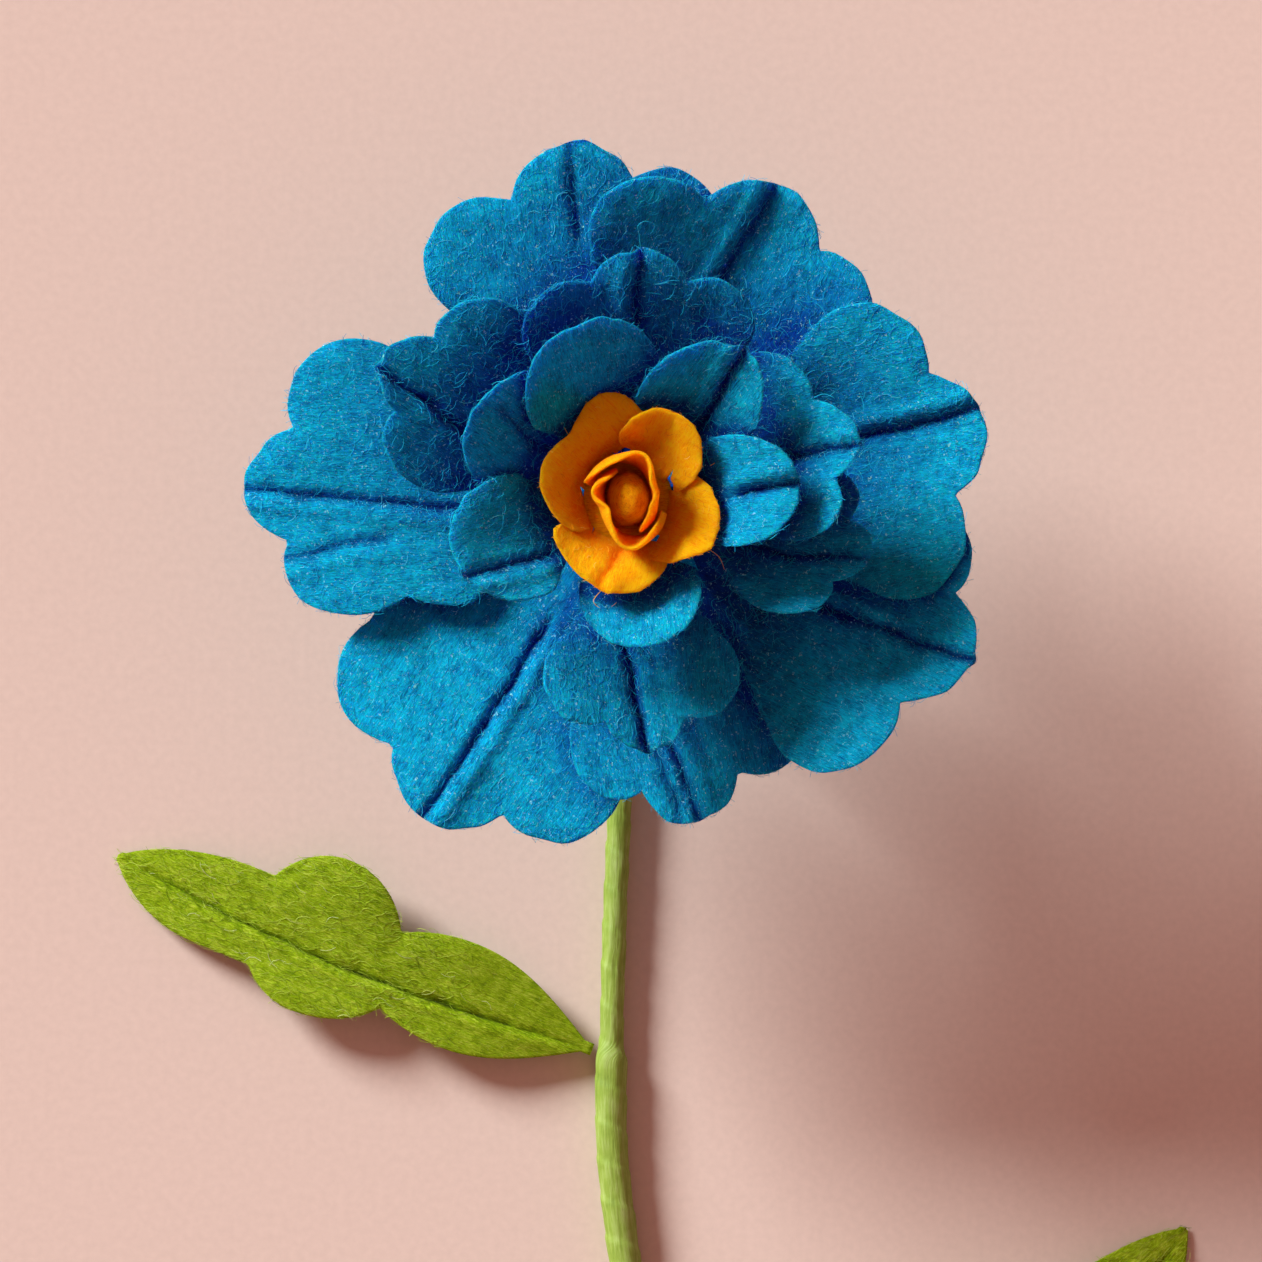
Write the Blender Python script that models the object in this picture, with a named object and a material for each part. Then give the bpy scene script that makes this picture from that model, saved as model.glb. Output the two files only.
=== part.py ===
"""Blue felt flower with a yellow middle on a tape-wrapped wire stem, lying on its back."""
import math

import bmesh
import bpy
import numpy as np
from mathutils import Vector

for old in list(bpy.data.objects):
    bpy.data.objects.remove(old, do_unlink=True)

MM = 0.001

# Sizes in millimetres
GAP = 0.3
FELT = 0.9
FELT_YELLOW = 0.9
FELT_LEAF = 1.1

WIRE_RADIUS = 0.6
STEM_RADIUS = 1.75
STEM_RADIUS_LOW = 2.3
STEM_END = -225.0
STEM_STRAIGHT = 3.0
STEM_BEND = 2.4
STEM_BEND_AT = 86.0
STEM_LEAN = 0.16
JOINT = -77.5
RIGHT_JOINT = -150.0

CORE_RADIUS = 3.2
CORE_BOTTOM = 40.0
CORE_HEIGHT = 23.5
CORE_TOP = CORE_BOTTOM + CORE_HEIGHT
TAB_LENGTH = 6.0
TAB_HALF = 1.15
TAB_HALF_YELLOW = 2.1
BACKING_RADIUS = 10.0

WIRE_INTO_CORE = 13.0
WIRE_TOP = CORE_BOTTOM + WIRE_INTO_CORE
LEAF_LENGTH = 72.2
RIGHT_LEAF_LENGTH = 84.1
LEAF_HEIGHT = 2.6

WRAP_LIFT = 0.7
WRAP_TALL = 8.1
BALL_WIDE = 5.9
BALL_LONG = 7.4
BALL_TALL = 6.2

PETAL_COLUMNS = 14
PETAL_ROWS = 6
SMALL_COLUMNS = 8
SMALL_ROWS = 6


def srgb(value):
    channels = [int(value[i:i + 2], 16) / 255 for i in (1, 3, 5)]
    return [c / 12.92 if c <= 0.04045 else ((c + 0.055) / 1.055) ** 2.4 for c in channels]


def material(name, colour, roughness, metallic):
    made = bpy.data.materials.new(name)
    made.use_nodes = True
    shader = made.node_tree.nodes["Principled BSDF"]
    shader.inputs["Base Color"].default_value = srgb(colour) + [1.0]
    shader.inputs["Roughness"].default_value = roughness
    shader.inputs["Metallic"].default_value = metallic
    return made


# What a piece is made of: colour, roughness, metallic
BLUE = ("#0A7FAE", 0.9, 0.0)
YELLOW = ("#E9A005", 0.9, 0.0)
GREEN = ("#74941A", 0.9, 0.0)
CREPE = ("#8FA85A", 0.75, 0.0)
STEEL = ("#6E7A6A", 0.45, 0.8)

FLOWER = bpy.data.objects.new("flower", None)
bpy.context.scene.collection.objects.link(FLOWER)

# Cut patterns: discs (distance along, distance across, radius) as parts of the petal length
LOBED = {
    "discs": ((0.81, 0.0, 0.19), (0.70, 0.26, 0.185), (0.70, -0.26, 0.185)),
    "middle": 0.6,
    "turn": 96.0,
    "notch": 34.1,
}

# A skirt is a broad lower shoulder of a petal that tucks under its neighbour
SKIRT_AT = 0.44
SKIRT_RADIUS = 0.20
SKIRT_TURN = 122.0
ROUND = {"discs": ((0.66, 0.0, 0.34),), "middle": 0.62, "turn": 100.0}
CUP = {"discs": ((0.62, 0.0, 0.38),), "middle": 0.6, "turn": 120.0}
HEART = {
    "discs": ((0.70, 0.24, 0.29), (0.70, -0.24, 0.29), (0.52, 0.0, 0.38)),
    "middle": 0.62,
    "turn": 115.0,
}


def new_object(name, points, faces, look, location=(0, 0, 0), heading=0.0):
    mesh = bpy.data.meshes.new(name)
    mesh.from_pydata([Vector(point) * MM for point in points], [], faces)
    mesh.materials.append(material(name, *look))
    made = bpy.data.objects.new(name, mesh)
    made.location = Vector(location) * MM
    made.rotation_euler.z = math.radians(heading)
    made.parent = FLOWER
    bpy.context.scene.collection.objects.link(made)
    form = bmesh.new()
    form.from_mesh(mesh)
    bmesh.ops.recalc_face_normals(form, faces=form.faces)
    form.to_mesh(mesh)
    form.free()
    return made


def sheet(name, middle, thickness, look, location=(0, 0, 0), heading=0.0):
    """A closed sheet of even thickness about a grid of points."""
    rows, columns = middle.shape[:2]
    along = np.gradient(middle, axis=0)
    across = np.gradient(middle, axis=1)
    normal = np.cross(along, across)
    normal /= np.linalg.norm(normal, axis=2, keepdims=True)
    points = np.concatenate([
        (middle + normal * thickness / 2).reshape(-1, 3),
        (middle - normal * thickness / 2).reshape(-1, 3),
    ])
    half = rows * columns
    faces = []
    for i in range(rows - 1):
        for j in range(columns - 1):
            a = i * columns + j
            b, c, d = a + 1, a + columns + 1, a + columns
            faces.append((a, b, c, d))
            faces.append((half + d, half + c, half + b, half + a))
    rim = [j for j in range(columns)]
    rim += [i * columns + columns - 1 for i in range(1, rows)]
    rim += [(rows - 1) * columns + j for j in range(columns - 2, -1, -1)]
    rim += [i * columns for i in range(rows - 2, 0, -1)]
    for here, there in zip(rim, rim[1:] + rim[:1]):
        faces.append((here, there, half + there, half + here))
    return new_object(name, points, faces, look, location, heading)


def outline(pattern, v, skirt):
    """Edge of the cut pattern; v runs from -1 at one side to 1 at the other."""
    turn = math.radians(SKIRT_TURN if skirt else pattern["turn"]) * v
    ray = (math.cos(turn), math.sin(turn))
    discs = list(pattern["discs"])
    if skirt:
        discs.append((SKIRT_AT, math.copysign(skirt, v), SKIRT_RADIUS))
    best = 0.0
    for along, across, radius in discs:
        x = along - pattern["middle"]
        dot = x * ray[0] + across * ray[1]
        inside = dot * dot + radius * radius - x * x - across * across
        if inside >= 0:
            best = max(best, dot + math.sqrt(inside))
    return pattern["middle"] + best * ray[0], best * ray[1]


def spread(v, columns, notch):
    """Move the columns so that one falls on the notch between the lobes."""
    if notch is None:
        return v
    here = 2 * round(notch / 2 * columns) / columns
    size = abs(v)
    if size < here:
        size = size * notch / here
    else:
        size = notch + (1 - notch) * (size - here) / (1 - here)
    return math.copysign(size, v)


def midrib(petal):
    """Distance out, height and rise of the petal's middle line along its length."""
    tab = petal.get("tab", TAB_LENGTH)
    steep, middle, tip = (math.radians(a) for a in petal["rise"])
    steps = np.linspace(0, 1, 41)
    near = middle + (steep - middle) * (1 - steps) ** 1.5
    far = middle + (tip - middle) * steps ** petal.get("late", 2.0)
    start = petal["start"]
    out_near = np.mean(np.cos(near)) * tab
    far_length = (petal["reach"] - start - out_near) / np.mean(np.cos(far))
    length = tab + far_length
    s = np.concatenate([steps * tab, tab + steps[1:] * far_length])
    rise = np.concatenate([near, far[1:]])
    step = np.diff(s)
    mean = (rise[1:] + rise[:-1]) / 2
    out = start + np.concatenate([[0], np.cumsum(np.cos(mean) * step)])
    up = np.concatenate([[0], np.cumsum(np.sin(mean) * step)])
    return length, tab, s, out, up, rise


def petal_grid(petal, rows, columns):
    """Points of a petal's middle surface, from its base to its cut edge."""
    length, tab, s, out, up, rise = midrib(petal)
    pattern = petal["pattern"]
    half_tab = TAB_HALF_YELLOW if pattern in (HEART, CUP) else TAB_HALF
    grid = np.zeros((rows + 1, columns + 1, 3))
    fold = [math.radians(a) for a in petal.get("fold", (0, 0))]
    cup = [math.radians(a) for a in petal.get("cup", (0, 0))]
    wide = petal.get("wide", (1, 1))
    turn = math.radians(petal.get("bend", 0))
    for j in range(columns + 1):
        side = 0 if 2 * j >= columns else 1
        skirt = petal.get("skirt", (0, 0))[side]
        notch = None
        if "notch" in pattern:
            notch = pattern["notch"] / (SKIRT_TURN if skirt else pattern["turn"])
        v = spread(2 * j / columns - 1, columns, notch)
        edge_a, edge_b = outline(pattern, v, skirt)
        edge_a *= length
        edge_b *= length * wide[side]
        for i in range(rows + 1):
            u = i / rows
            if i < 2:
                a = tab * i
                b = half_tab * v
            else:
                part = (i - 1) / (rows - 1)
                a = tab + (edge_a - tab) * part
                b = half_tab * v + (edge_b - half_tab * v) * part
            r = np.interp(a, s, out)
            z = np.interp(a, s, up)
            angle = np.interp(a, s, rise)
            open_out = min(max((a - tab) / (0.35 * length), 0), 1)
            w = abs(b)
            lean = fold[side] * open_out + (math.sin(angle) / r + cup[side] / (0.45 * length)) * w / 2
            y = w * math.cos(lean) * (1 if b > 0 else -1)
            h = w * math.sin(lean)
            direction = turn * (a / length) ** 2
            e = (math.cos(direction), math.sin(direction))
            x_out = r - h * math.sin(angle)
            grid[i, j] = (x_out * e[0] - y * e[1], x_out * e[1] + y * e[0], z + h * math.cos(angle))
    return grid


START = CORE_RADIUS + GAP + FELT / 2 + 0.1

# Blue petals: az is the heading in degrees, reach how far the tip is from the middle, z the height of
# its base above the bottom of the core, rise the slope at base, middle and tip, fold how far the left
# and right halves lift, wide how wide they are, skirt how far out their lower shoulders stand
OUTER = (
    {"az": 178.5, "reach": 53.6, "z": 1.6, "rise": (75, 6, -6), "fold": (5, 3), "wide": (0.76, 0.95),
     "skirt": (0.20, 0)},
    {"az": 99.3, "reach": 50.4, "z": 0.2, "rise": (75, 6, 10), "fold": (-2, -3), "wide": (1.07, 0.9)},
    {"az": 63.0, "reach": 48.8, "z": 1.8, "rise": (75, 6, 8), "fold": (22, -2), "wide": (1.2, 0.95)},
    {"az": 12.2, "reach": 51.0, "z": 4.5, "rise": (75, 6, 12), "fold": (12, 5), "wide": (0.95, 1.02)},
    {"az": -24.7, "reach": 52.9, "z": 3.0, "rise": (75, 5, 30), "fold": (-3, 5), "wide": (0.76, 1.05)},
    {"az": -78.8, "reach": 46.1, "z": 1.6, "rise": (75, 5, 10), "fold": (-3, 5), "wide": (0.98, 0.76),
     "skirt": (0.30, 0)},
    {"az": -122.6, "reach": 52.8, "z": 0.2, "rise": (75, 5, 4), "fold": (-3, -3), "wide": (0.98, 1.0),
     "skirt": (0, 0.30)},
)
MIDDLE = (
    {"az": 150.5, "reach": 39.4, "z": 7.6, "rise": (75, 30, 22), "fold": (8, 0), "wide": (0.72, 0.85)},
    {"az": 87.5, "reach": 34.6, "z": 6.6, "rise": (75, 32, 28), "fold": (8, -10), "wide": (1.0, 1.0)},
    {"az": 18.0, "bend": -2.5, "reach": 33.2, "z": 9.6, "rise": (75, 38, 20), "fold": (8, 6),
     "wide": (0.95, 0.8)},
    {"az": -20.0, "bend": 7.0, "reach": 35.0, "z": 8.6, "rise": (75, 22, 16), "fold": (-2, 18),
     "wide": (0.8, 0.66)},
    {"az": -85.0, "reach": 35.3, "z": 7.6, "rise": (75, 18, 12), "fold": (6, 18), "wide": (0.9, 1.0)},
)
INNER = (
    {"az": 147.0, "reach": 24.6, "z": 12.0, "rise": (78, 50, 42), "fold": (-10, -2), "wide": (0.9, 0.9)},
    {"az": 104.0, "reach": 25.4, "z": 13.8, "rise": (78, 50, 40), "fold": (4, -9), "wide": (1.0, 0.8)},
    {"az": 53.0, "reach": 26.3, "z": 15.3, "rise": (78, 44, 26), "fold": (24, -4), "wide": (0.95, 0.8)},
    {"az": 5.0, "reach": 23.9, "z": 16.1, "rise": (78, 46, 5), "fold": (10, 4), "wide": (0.9, 0.9)},
    {"az": -84.2, "reach": 20.8, "z": 12.0, "rise": (78, 50, 20), "fold": (0, 0), "wide": (1.1, 1.0)},
    {"az": -164.0, "reach": 25.6, "z": 15.3, "rise": (78, 45, 25), "fold": (4, 0), "wide": (1.0, 0.8)},
)
YELLOWS = (
    {"az": 137.0, "reach": 14.0, "z": CORE_HEIGHT - 4.5, "rise": (80, 52, 15), "fold": (0, -7),
     "pattern": HEART},
    {"az": 59.0, "reach": 13.6, "z": CORE_HEIGHT - 2.4, "start": START + 0.2, "rise": (80, 46, 36),
     "fold": (13, 0), "pattern": HEART, "wide": (0.85, 0.9)},
    {"az": -20.0, "reach": 13.4, "z": CORE_HEIGHT - 3.0, "start": START + 0.2, "rise": (80, 43, 18),
     "fold": (0, 9), "pattern": CUP, "wide": (1.2, 1.25)},
    {"az": -108.0, "reach": 13.8, "z": CORE_HEIGHT - 4.5, "rise": (80, 52, 5), "fold": (-9, 0),
     "pattern": HEART, "wide": (1.0, 1.3)},
)


def petals(rows_of, label, pattern, thickness, look, rows, columns):
    for number, row in enumerate(rows_of, 1):
        settings = {"pattern": pattern, "start": START}
        settings.update(row)
        grid = petal_grid(settings, rows, columns)
        base = (0, 0, CORE_BOTTOM + settings["z"])
        sheet(f"{label}_{number}", grid, thickness, look, base, settings["az"])


def bud_wrap(name, first, last):
    """One overlapping wrap of felt round the ball; it winds outward along its length."""
    rows, columns = 5, 12
    grid = np.zeros((rows + 1, columns + 1, 3))
    for j in range(columns + 1):
        part = j / columns
        az = math.radians(first + (last - first) * part)
        oval = 1 + 0.14 * math.cos(2 * (az - math.radians(110)))
        for i in range(rows + 1):
            u = i / rows
            top = WRAP_TALL * math.sin(math.pi * (0.12 + 0.76 * part)) ** 0.5
            r = (4.25 + 1.45 * math.sin(u * 1.5)) * oval + (part - 0.5) * 2.05
            grid[i, j] = (
                r * math.cos(az),
                r * math.sin(az),
                u * top,
            )
    sheet(name, grid, FELT_YELLOW, YELLOW, (0, 0, CORE_TOP + GAP + WRAP_LIFT))


def ball(name):
    """Oval ball of rolled felt."""
    around, levels = 14, 8
    points = []
    for i in range(1, levels):
        down = math.pi * i / levels
        for j in range(around):
            turn = 2 * math.pi * j / around
            points.append((
                BALL_WIDE / 2 * math.sin(down) * math.cos(turn),
                BALL_LONG / 2 * math.sin(down) * math.sin(turn),
                BALL_TALL / 2 * math.cos(down),
            ))
    top = len(points)
    points.append((0, 0, BALL_TALL / 2))
    points.append((0, 0, -BALL_TALL / 2))
    faces = []
    for j in range(around):
        after = (j + 1) % around
        faces.append((top, j, after))
        last = (levels - 2) * around
        faces.append((top + 1, last + after, last + j))
        for i in range(levels - 2):
            a = i * around
            faces.append((a + j, a + around + j, a + around + after, a + after))
    new_object(name, points, faces, YELLOW, (0, 0, CORE_TOP + GAP + BALL_TALL / 2))


def rings(centres, radii, sides):
    """Circles of points square to a path that runs mostly in the YZ plane."""
    centres = np.array(centres)
    along = np.gradient(centres, axis=0)
    points = []
    for centre, way, radius in zip(centres, along, radii):
        way = way / np.linalg.norm(way)
        side = np.array((1.0, 0, 0)) - way * way[0]
        side /= np.linalg.norm(side)
        up = np.cross(way, side)
        for j in range(sides):
            turn = 2 * math.pi * j / sides
            points.append(centre + radius * (math.cos(turn) * side + math.sin(turn) * up))
    return points


def wall(first, count, sides):
    faces = []
    for i in range(count - 1):
        for j in range(sides):
            after = (j + 1) % sides
            a = first + i * sides
            faces.append((a + j, a + after, a + sides + after, a + sides + j))
    return faces


def stem_bow(y):
    """Sideways bend of the stem: a little to the left under the head, then away to the right."""
    near = -STEM_BEND * math.sin(math.pi / 2 * min(max(-y / STEM_BEND_AT, 0), 1)) ** 2
    past = max(0, -y - STEM_BEND_AT)
    return near + STEM_LEAN * (math.hypot(past, 12) - 12)


def stem_path(height, straight, turning):
    """Points of the stem's middle line: flat on the floor, a quarter turn, then up to a height."""
    lie = STEM_RADIUS_LOW
    turn_radius = CORE_BOTTOM - STEM_STRAIGHT - lie
    line = [(y, lie) for y in np.linspace(STEM_END, -turn_radius, straight)]
    for i in range(1, turning + 1):
        angle = i / turning * math.pi / 2
        line.append((turn_radius * (math.sin(angle) - 1), lie + turn_radius * (1 - math.cos(angle))))
    line.append((0.0, (line[-1][1] + height) / 2))
    line.append((0.0, height))
    points = []
    for y, z in line:
        points.append((stem_bow(y), y, z))
    return points


def stem_radius(point):
    low = 1 / (1 + math.exp((point[1] - JOINT) / 0.5))
    flare = max(0.0, 1 - (CORE_BOTTOM - point[2]) / 7.0) if point[1] > -10 else 0.0
    return STEM_RADIUS + (STEM_RADIUS_LOW - STEM_RADIUS) * low + (CORE_RADIUS - STEM_RADIUS) * flare ** 2


def stem_wrap():
    """Floral tape round the wire, thicker below the leaf joint, wider where it meets the head."""
    sides = 12
    path = stem_path(CORE_BOTTOM - GAP, 26, 12)
    bore = stem_path(CORE_BOTTOM - GAP, 16, 12)
    points = rings(path, [stem_radius(p) for p in path], sides)
    hole = len(points)
    points += rings(bore, [WIRE_RADIUS + GAP] * len(bore), sides)
    faces = wall(0, len(path), sides)
    faces += [tuple(reversed(face)) for face in wall(hole, len(bore), sides)]
    for j in range(sides):
        after = (j + 1) % sides
        faces.append((j, hole + j, hole + after, after))
        outer = (len(path) - 1) * sides
        inner = hole + (len(bore) - 1) * sides
        faces.append((outer + j, outer + after, inner + after, inner + j))
    new_object("stem_wrap", points, faces, CREPE)


def stem_wire():
    sides = 8
    path = stem_path(WIRE_TOP, 16, 12)
    points = rings(path, [WIRE_RADIUS] * len(path), sides)
    faces = wall(0, len(path), sides)
    faces.append(tuple(range(sides)))
    faces.append(tuple((len(path) - 1) * sides + j for j in range(sides)))
    new_object("stem_wire", points, faces, STEEL)


def flower_core():
    """Wound felt core on the wire's top end; the petals are glued round it."""
    sides = 16
    profile = (
        (CORE_RADIUS, CORE_BOTTOM),
        (CORE_RADIUS, CORE_TOP),
    )
    bore = ((WIRE_RADIUS + GAP, CORE_BOTTOM), (WIRE_RADIUS + GAP, WIRE_TOP + GAP))
    points = []
    for radius, z in profile + bore:
        for j in range(sides):
            turn = 2 * math.pi * j / sides
            points.append((radius * math.cos(turn), radius * math.sin(turn), z))
    faces = []
    for j in range(sides):
        after = (j + 1) % sides
        faces.append((j, after, sides + after, sides + j))
        faces.append((2 * sides + j, 3 * sides + j, 3 * sides + after, 2 * sides + after))
        faces.append((j, 2 * sides + j, 2 * sides + after, after))
    faces.append(tuple(sides + j for j in range(sides)))
    faces.append(tuple(3 * sides + j for j in range(sides)))
    new_object("flower_core", points, faces, BLUE)


def backing():
    """Ring of felt under the lowest petals that closes the flower's back."""
    sides = 18
    low = CORE_BOTTOM - GAP - FELT
    profile = (
        (CORE_RADIUS + GAP, low),
        (BACKING_RADIUS, low),
        (BACKING_RADIUS, low + FELT),
        (CORE_RADIUS + GAP, low + FELT),
    )
    points = []
    for radius, z in profile:
        for j in range(sides):
            turn = 2 * math.pi * j / sides
            points.append((radius * math.cos(turn), radius * math.sin(turn), z))
    faces = []
    for i in range(4):
        a, b = i * sides, (i + 1) % 4 * sides
        for j in range(sides):
            after = (j + 1) % sides
            faces.append((a + j, a + after, b + after, b + j))
    new_object("backing", points, faces, BLUE)


def leaf_half(part, side):
    """Half width of the leaf over its length as a part of the length: two lobes and a pointed end."""
    left, right = (0.16, 0.165, 0.74, 0.082), (0.19, 0.149, 0.80, 0.098)
    near, height, end_at, end_height = left if side > 0 else right
    if part < 0.28:
        width = 0.107 * math.sin(math.pi / 2 * part / 0.28)
    else:
        width = 0.107 * math.sqrt(max(0, 1 - ((part - 0.28) / 0.2) ** 2))
    lobe = near if part < 0.575 else 0.145
    width = max(width, height * math.sqrt(max(0, 1 - ((part - 0.575) / lobe) ** 2)))
    if part > 0.5:
        width = max(width, end_height * max(0, 1 - (max(0, part - end_at) / (1 - end_at)) ** 2) ** 0.8)
    return max(width, 0.012)


def leaf(name, base, heading, length, bend, flip):
    """Lobed leaf: creased along the middle, arched, its tip down on the floor."""
    rows, columns = 18, 6
    grid = np.zeros((rows + 1, columns + 1, 3))
    for i in range(rows + 1):
        part = i / rows
        a = part * length
        turn = bend * (part - 0.5)
        bow = flip * 0.036 * length * math.sin(math.pi * part)
        z = -(base[2] - FELT_LEAF / 2) * (1 - (1 - part) ** 1.2)
        z += 2.6 * math.sin(math.pi * part)
        along = (math.cos(turn), math.sin(turn))
        for j in range(columns + 1):
            v = 2 * j / columns - 1
            side = 1 if v * flip < 0 else -1
            half = max(leaf_half(part, side) * length, 0.35) if part < 1 else 0.35
            b = bow * (1 - abs(v)) + half * v
            lift = abs(v) * half * math.sin(math.radians(9)) * min(1, 4 * part * (1 - part))
            x = a * along[0] - b * along[1]
            y = a * along[1] + b * along[0]
            grid[i, j] = (x, y, z + lift)
    sheet(name, grid, FELT_LEAF, GREEN, base, heading)


petals(OUTER, "outer_petal", LOBED, FELT, BLUE, PETAL_ROWS, PETAL_COLUMNS)
petals(MIDDLE, "middle_petal", LOBED, FELT, BLUE, PETAL_ROWS, PETAL_COLUMNS)
petals(INNER, "inner_petal", ROUND, FELT, BLUE, SMALL_ROWS + 1, SMALL_COLUMNS)
petals(YELLOWS, "yellow_petal", ROUND, FELT_YELLOW, YELLOW, SMALL_ROWS, SMALL_COLUMNS)
bud_wrap("bud_petal_1", -70, 160)
bud_wrap("bud_petal_2", 110, 340)
ball("bud_ball")
flower_core()
backing()
stem_wire()
stem_wrap()
left_base = (stem_bow(JOINT) - STEM_RADIUS_LOW - GAP - 0.1, JOINT + 0.2, LEAF_HEIGHT)
right_base = (stem_bow(RIGHT_JOINT) + STEM_RADIUS_LOW + GAP + 0.5, RIGHT_JOINT, LEAF_HEIGHT)
leaf("leaf_left", left_base, 157.9, LEAF_LENGTH, 0.0, 1)
leaf("leaf_right", right_base, 27.7, RIGHT_LEAF_LENGTH, 0.23, -1)


def settle():
    """Move the flower so that the middle of its box stands over the origin, its lowest point at zero."""
    bpy.context.view_layer.update()
    pieces = [thing for thing in bpy.data.objects if thing.type == "MESH"]
    points = np.array([tuple(piece.matrix_world @ v.co) for piece in pieces for v in piece.data.vertices])
    low, high = points.min(axis=0), points.max(axis=0)
    FLOWER.location = (-(low[0] + high[0]) / 2, -(low[1] + high[1]) / 2, -low[2])


settle()
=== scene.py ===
# A blue felt flower with a yellow middle on a taped wire stem, lying on its back on a pale table.
import math
import random

import bmesh
import bpy
import numpy as np
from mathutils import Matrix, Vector, noise
from mathutils.bvhtree import BVHTree


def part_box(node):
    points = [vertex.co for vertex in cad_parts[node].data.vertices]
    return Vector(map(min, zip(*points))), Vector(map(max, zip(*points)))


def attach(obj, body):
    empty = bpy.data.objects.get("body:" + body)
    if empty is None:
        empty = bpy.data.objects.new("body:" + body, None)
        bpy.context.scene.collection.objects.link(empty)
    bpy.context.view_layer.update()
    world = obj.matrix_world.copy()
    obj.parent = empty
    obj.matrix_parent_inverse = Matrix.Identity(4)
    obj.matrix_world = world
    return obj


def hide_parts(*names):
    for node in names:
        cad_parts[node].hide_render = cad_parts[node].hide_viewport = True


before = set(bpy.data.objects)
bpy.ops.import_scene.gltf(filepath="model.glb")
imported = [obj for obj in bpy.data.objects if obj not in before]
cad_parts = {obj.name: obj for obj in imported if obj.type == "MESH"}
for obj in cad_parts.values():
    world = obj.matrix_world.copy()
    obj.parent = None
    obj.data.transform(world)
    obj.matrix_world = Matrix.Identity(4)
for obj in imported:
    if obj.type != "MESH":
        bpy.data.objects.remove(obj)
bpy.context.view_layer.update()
mm = 0.001
pieces = {}

headLow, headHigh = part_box("flower_core")
headX = (headLow[0] + headHigh[0]) / 2 / mm
headY = (headLow[1] + headHigh[1]) / 2 / mm
headZ = headLow[2] / mm
coreTop = headHigh[2] / mm
coreRadius = (headHigh[0] - headLow[0]) / 2 / mm
print("frame loaded, head at", round(headX, 2), round(headY, 2), round(headZ, 2))


# ---- colours and nodes

def linearColour(hexText):
    channels = [int(hexText[i:i + 2], 16) / 255 for i in (1, 3, 5)]
    return [c / 12.92 if c <= 0.04045 else ((c + 0.055) / 1.055) ** 2.4 for c in channels] + [1.0]


def addNode(tree, kind, settings=None, inputs=None):
    # settings are the node's own fields, inputs a value or another node's socket for each named input
    made = tree.nodes.new(kind)
    for field, value in (settings or {}).items():
        setattr(made, field, value)
    for name, value in (inputs or {}).items():
        socket = made.inputs[name]
        if isinstance(value, bpy.types.NodeSocket):
            tree.links.new(value, socket)
        else:
            socket.default_value = value
    return made


def newMaterial(name):
    made = bpy.data.materials.new(name)
    made.use_nodes = True
    return made, made.node_tree, made.node_tree.nodes["Principled BSDF"]


def colourRamp(tree, factor, stops):
    ramp = addNode(tree, "ShaderNodeValToRGB", inputs={"Fac": factor})
    for number, (place, colour) in enumerate(stops):
        if number < 2:
            stop = ramp.color_ramp.elements[number]
            stop.position = place
        else:
            stop = ramp.color_ramp.elements.new(place)
        stop.color = colour
    return ramp.outputs["Color"]


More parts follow.
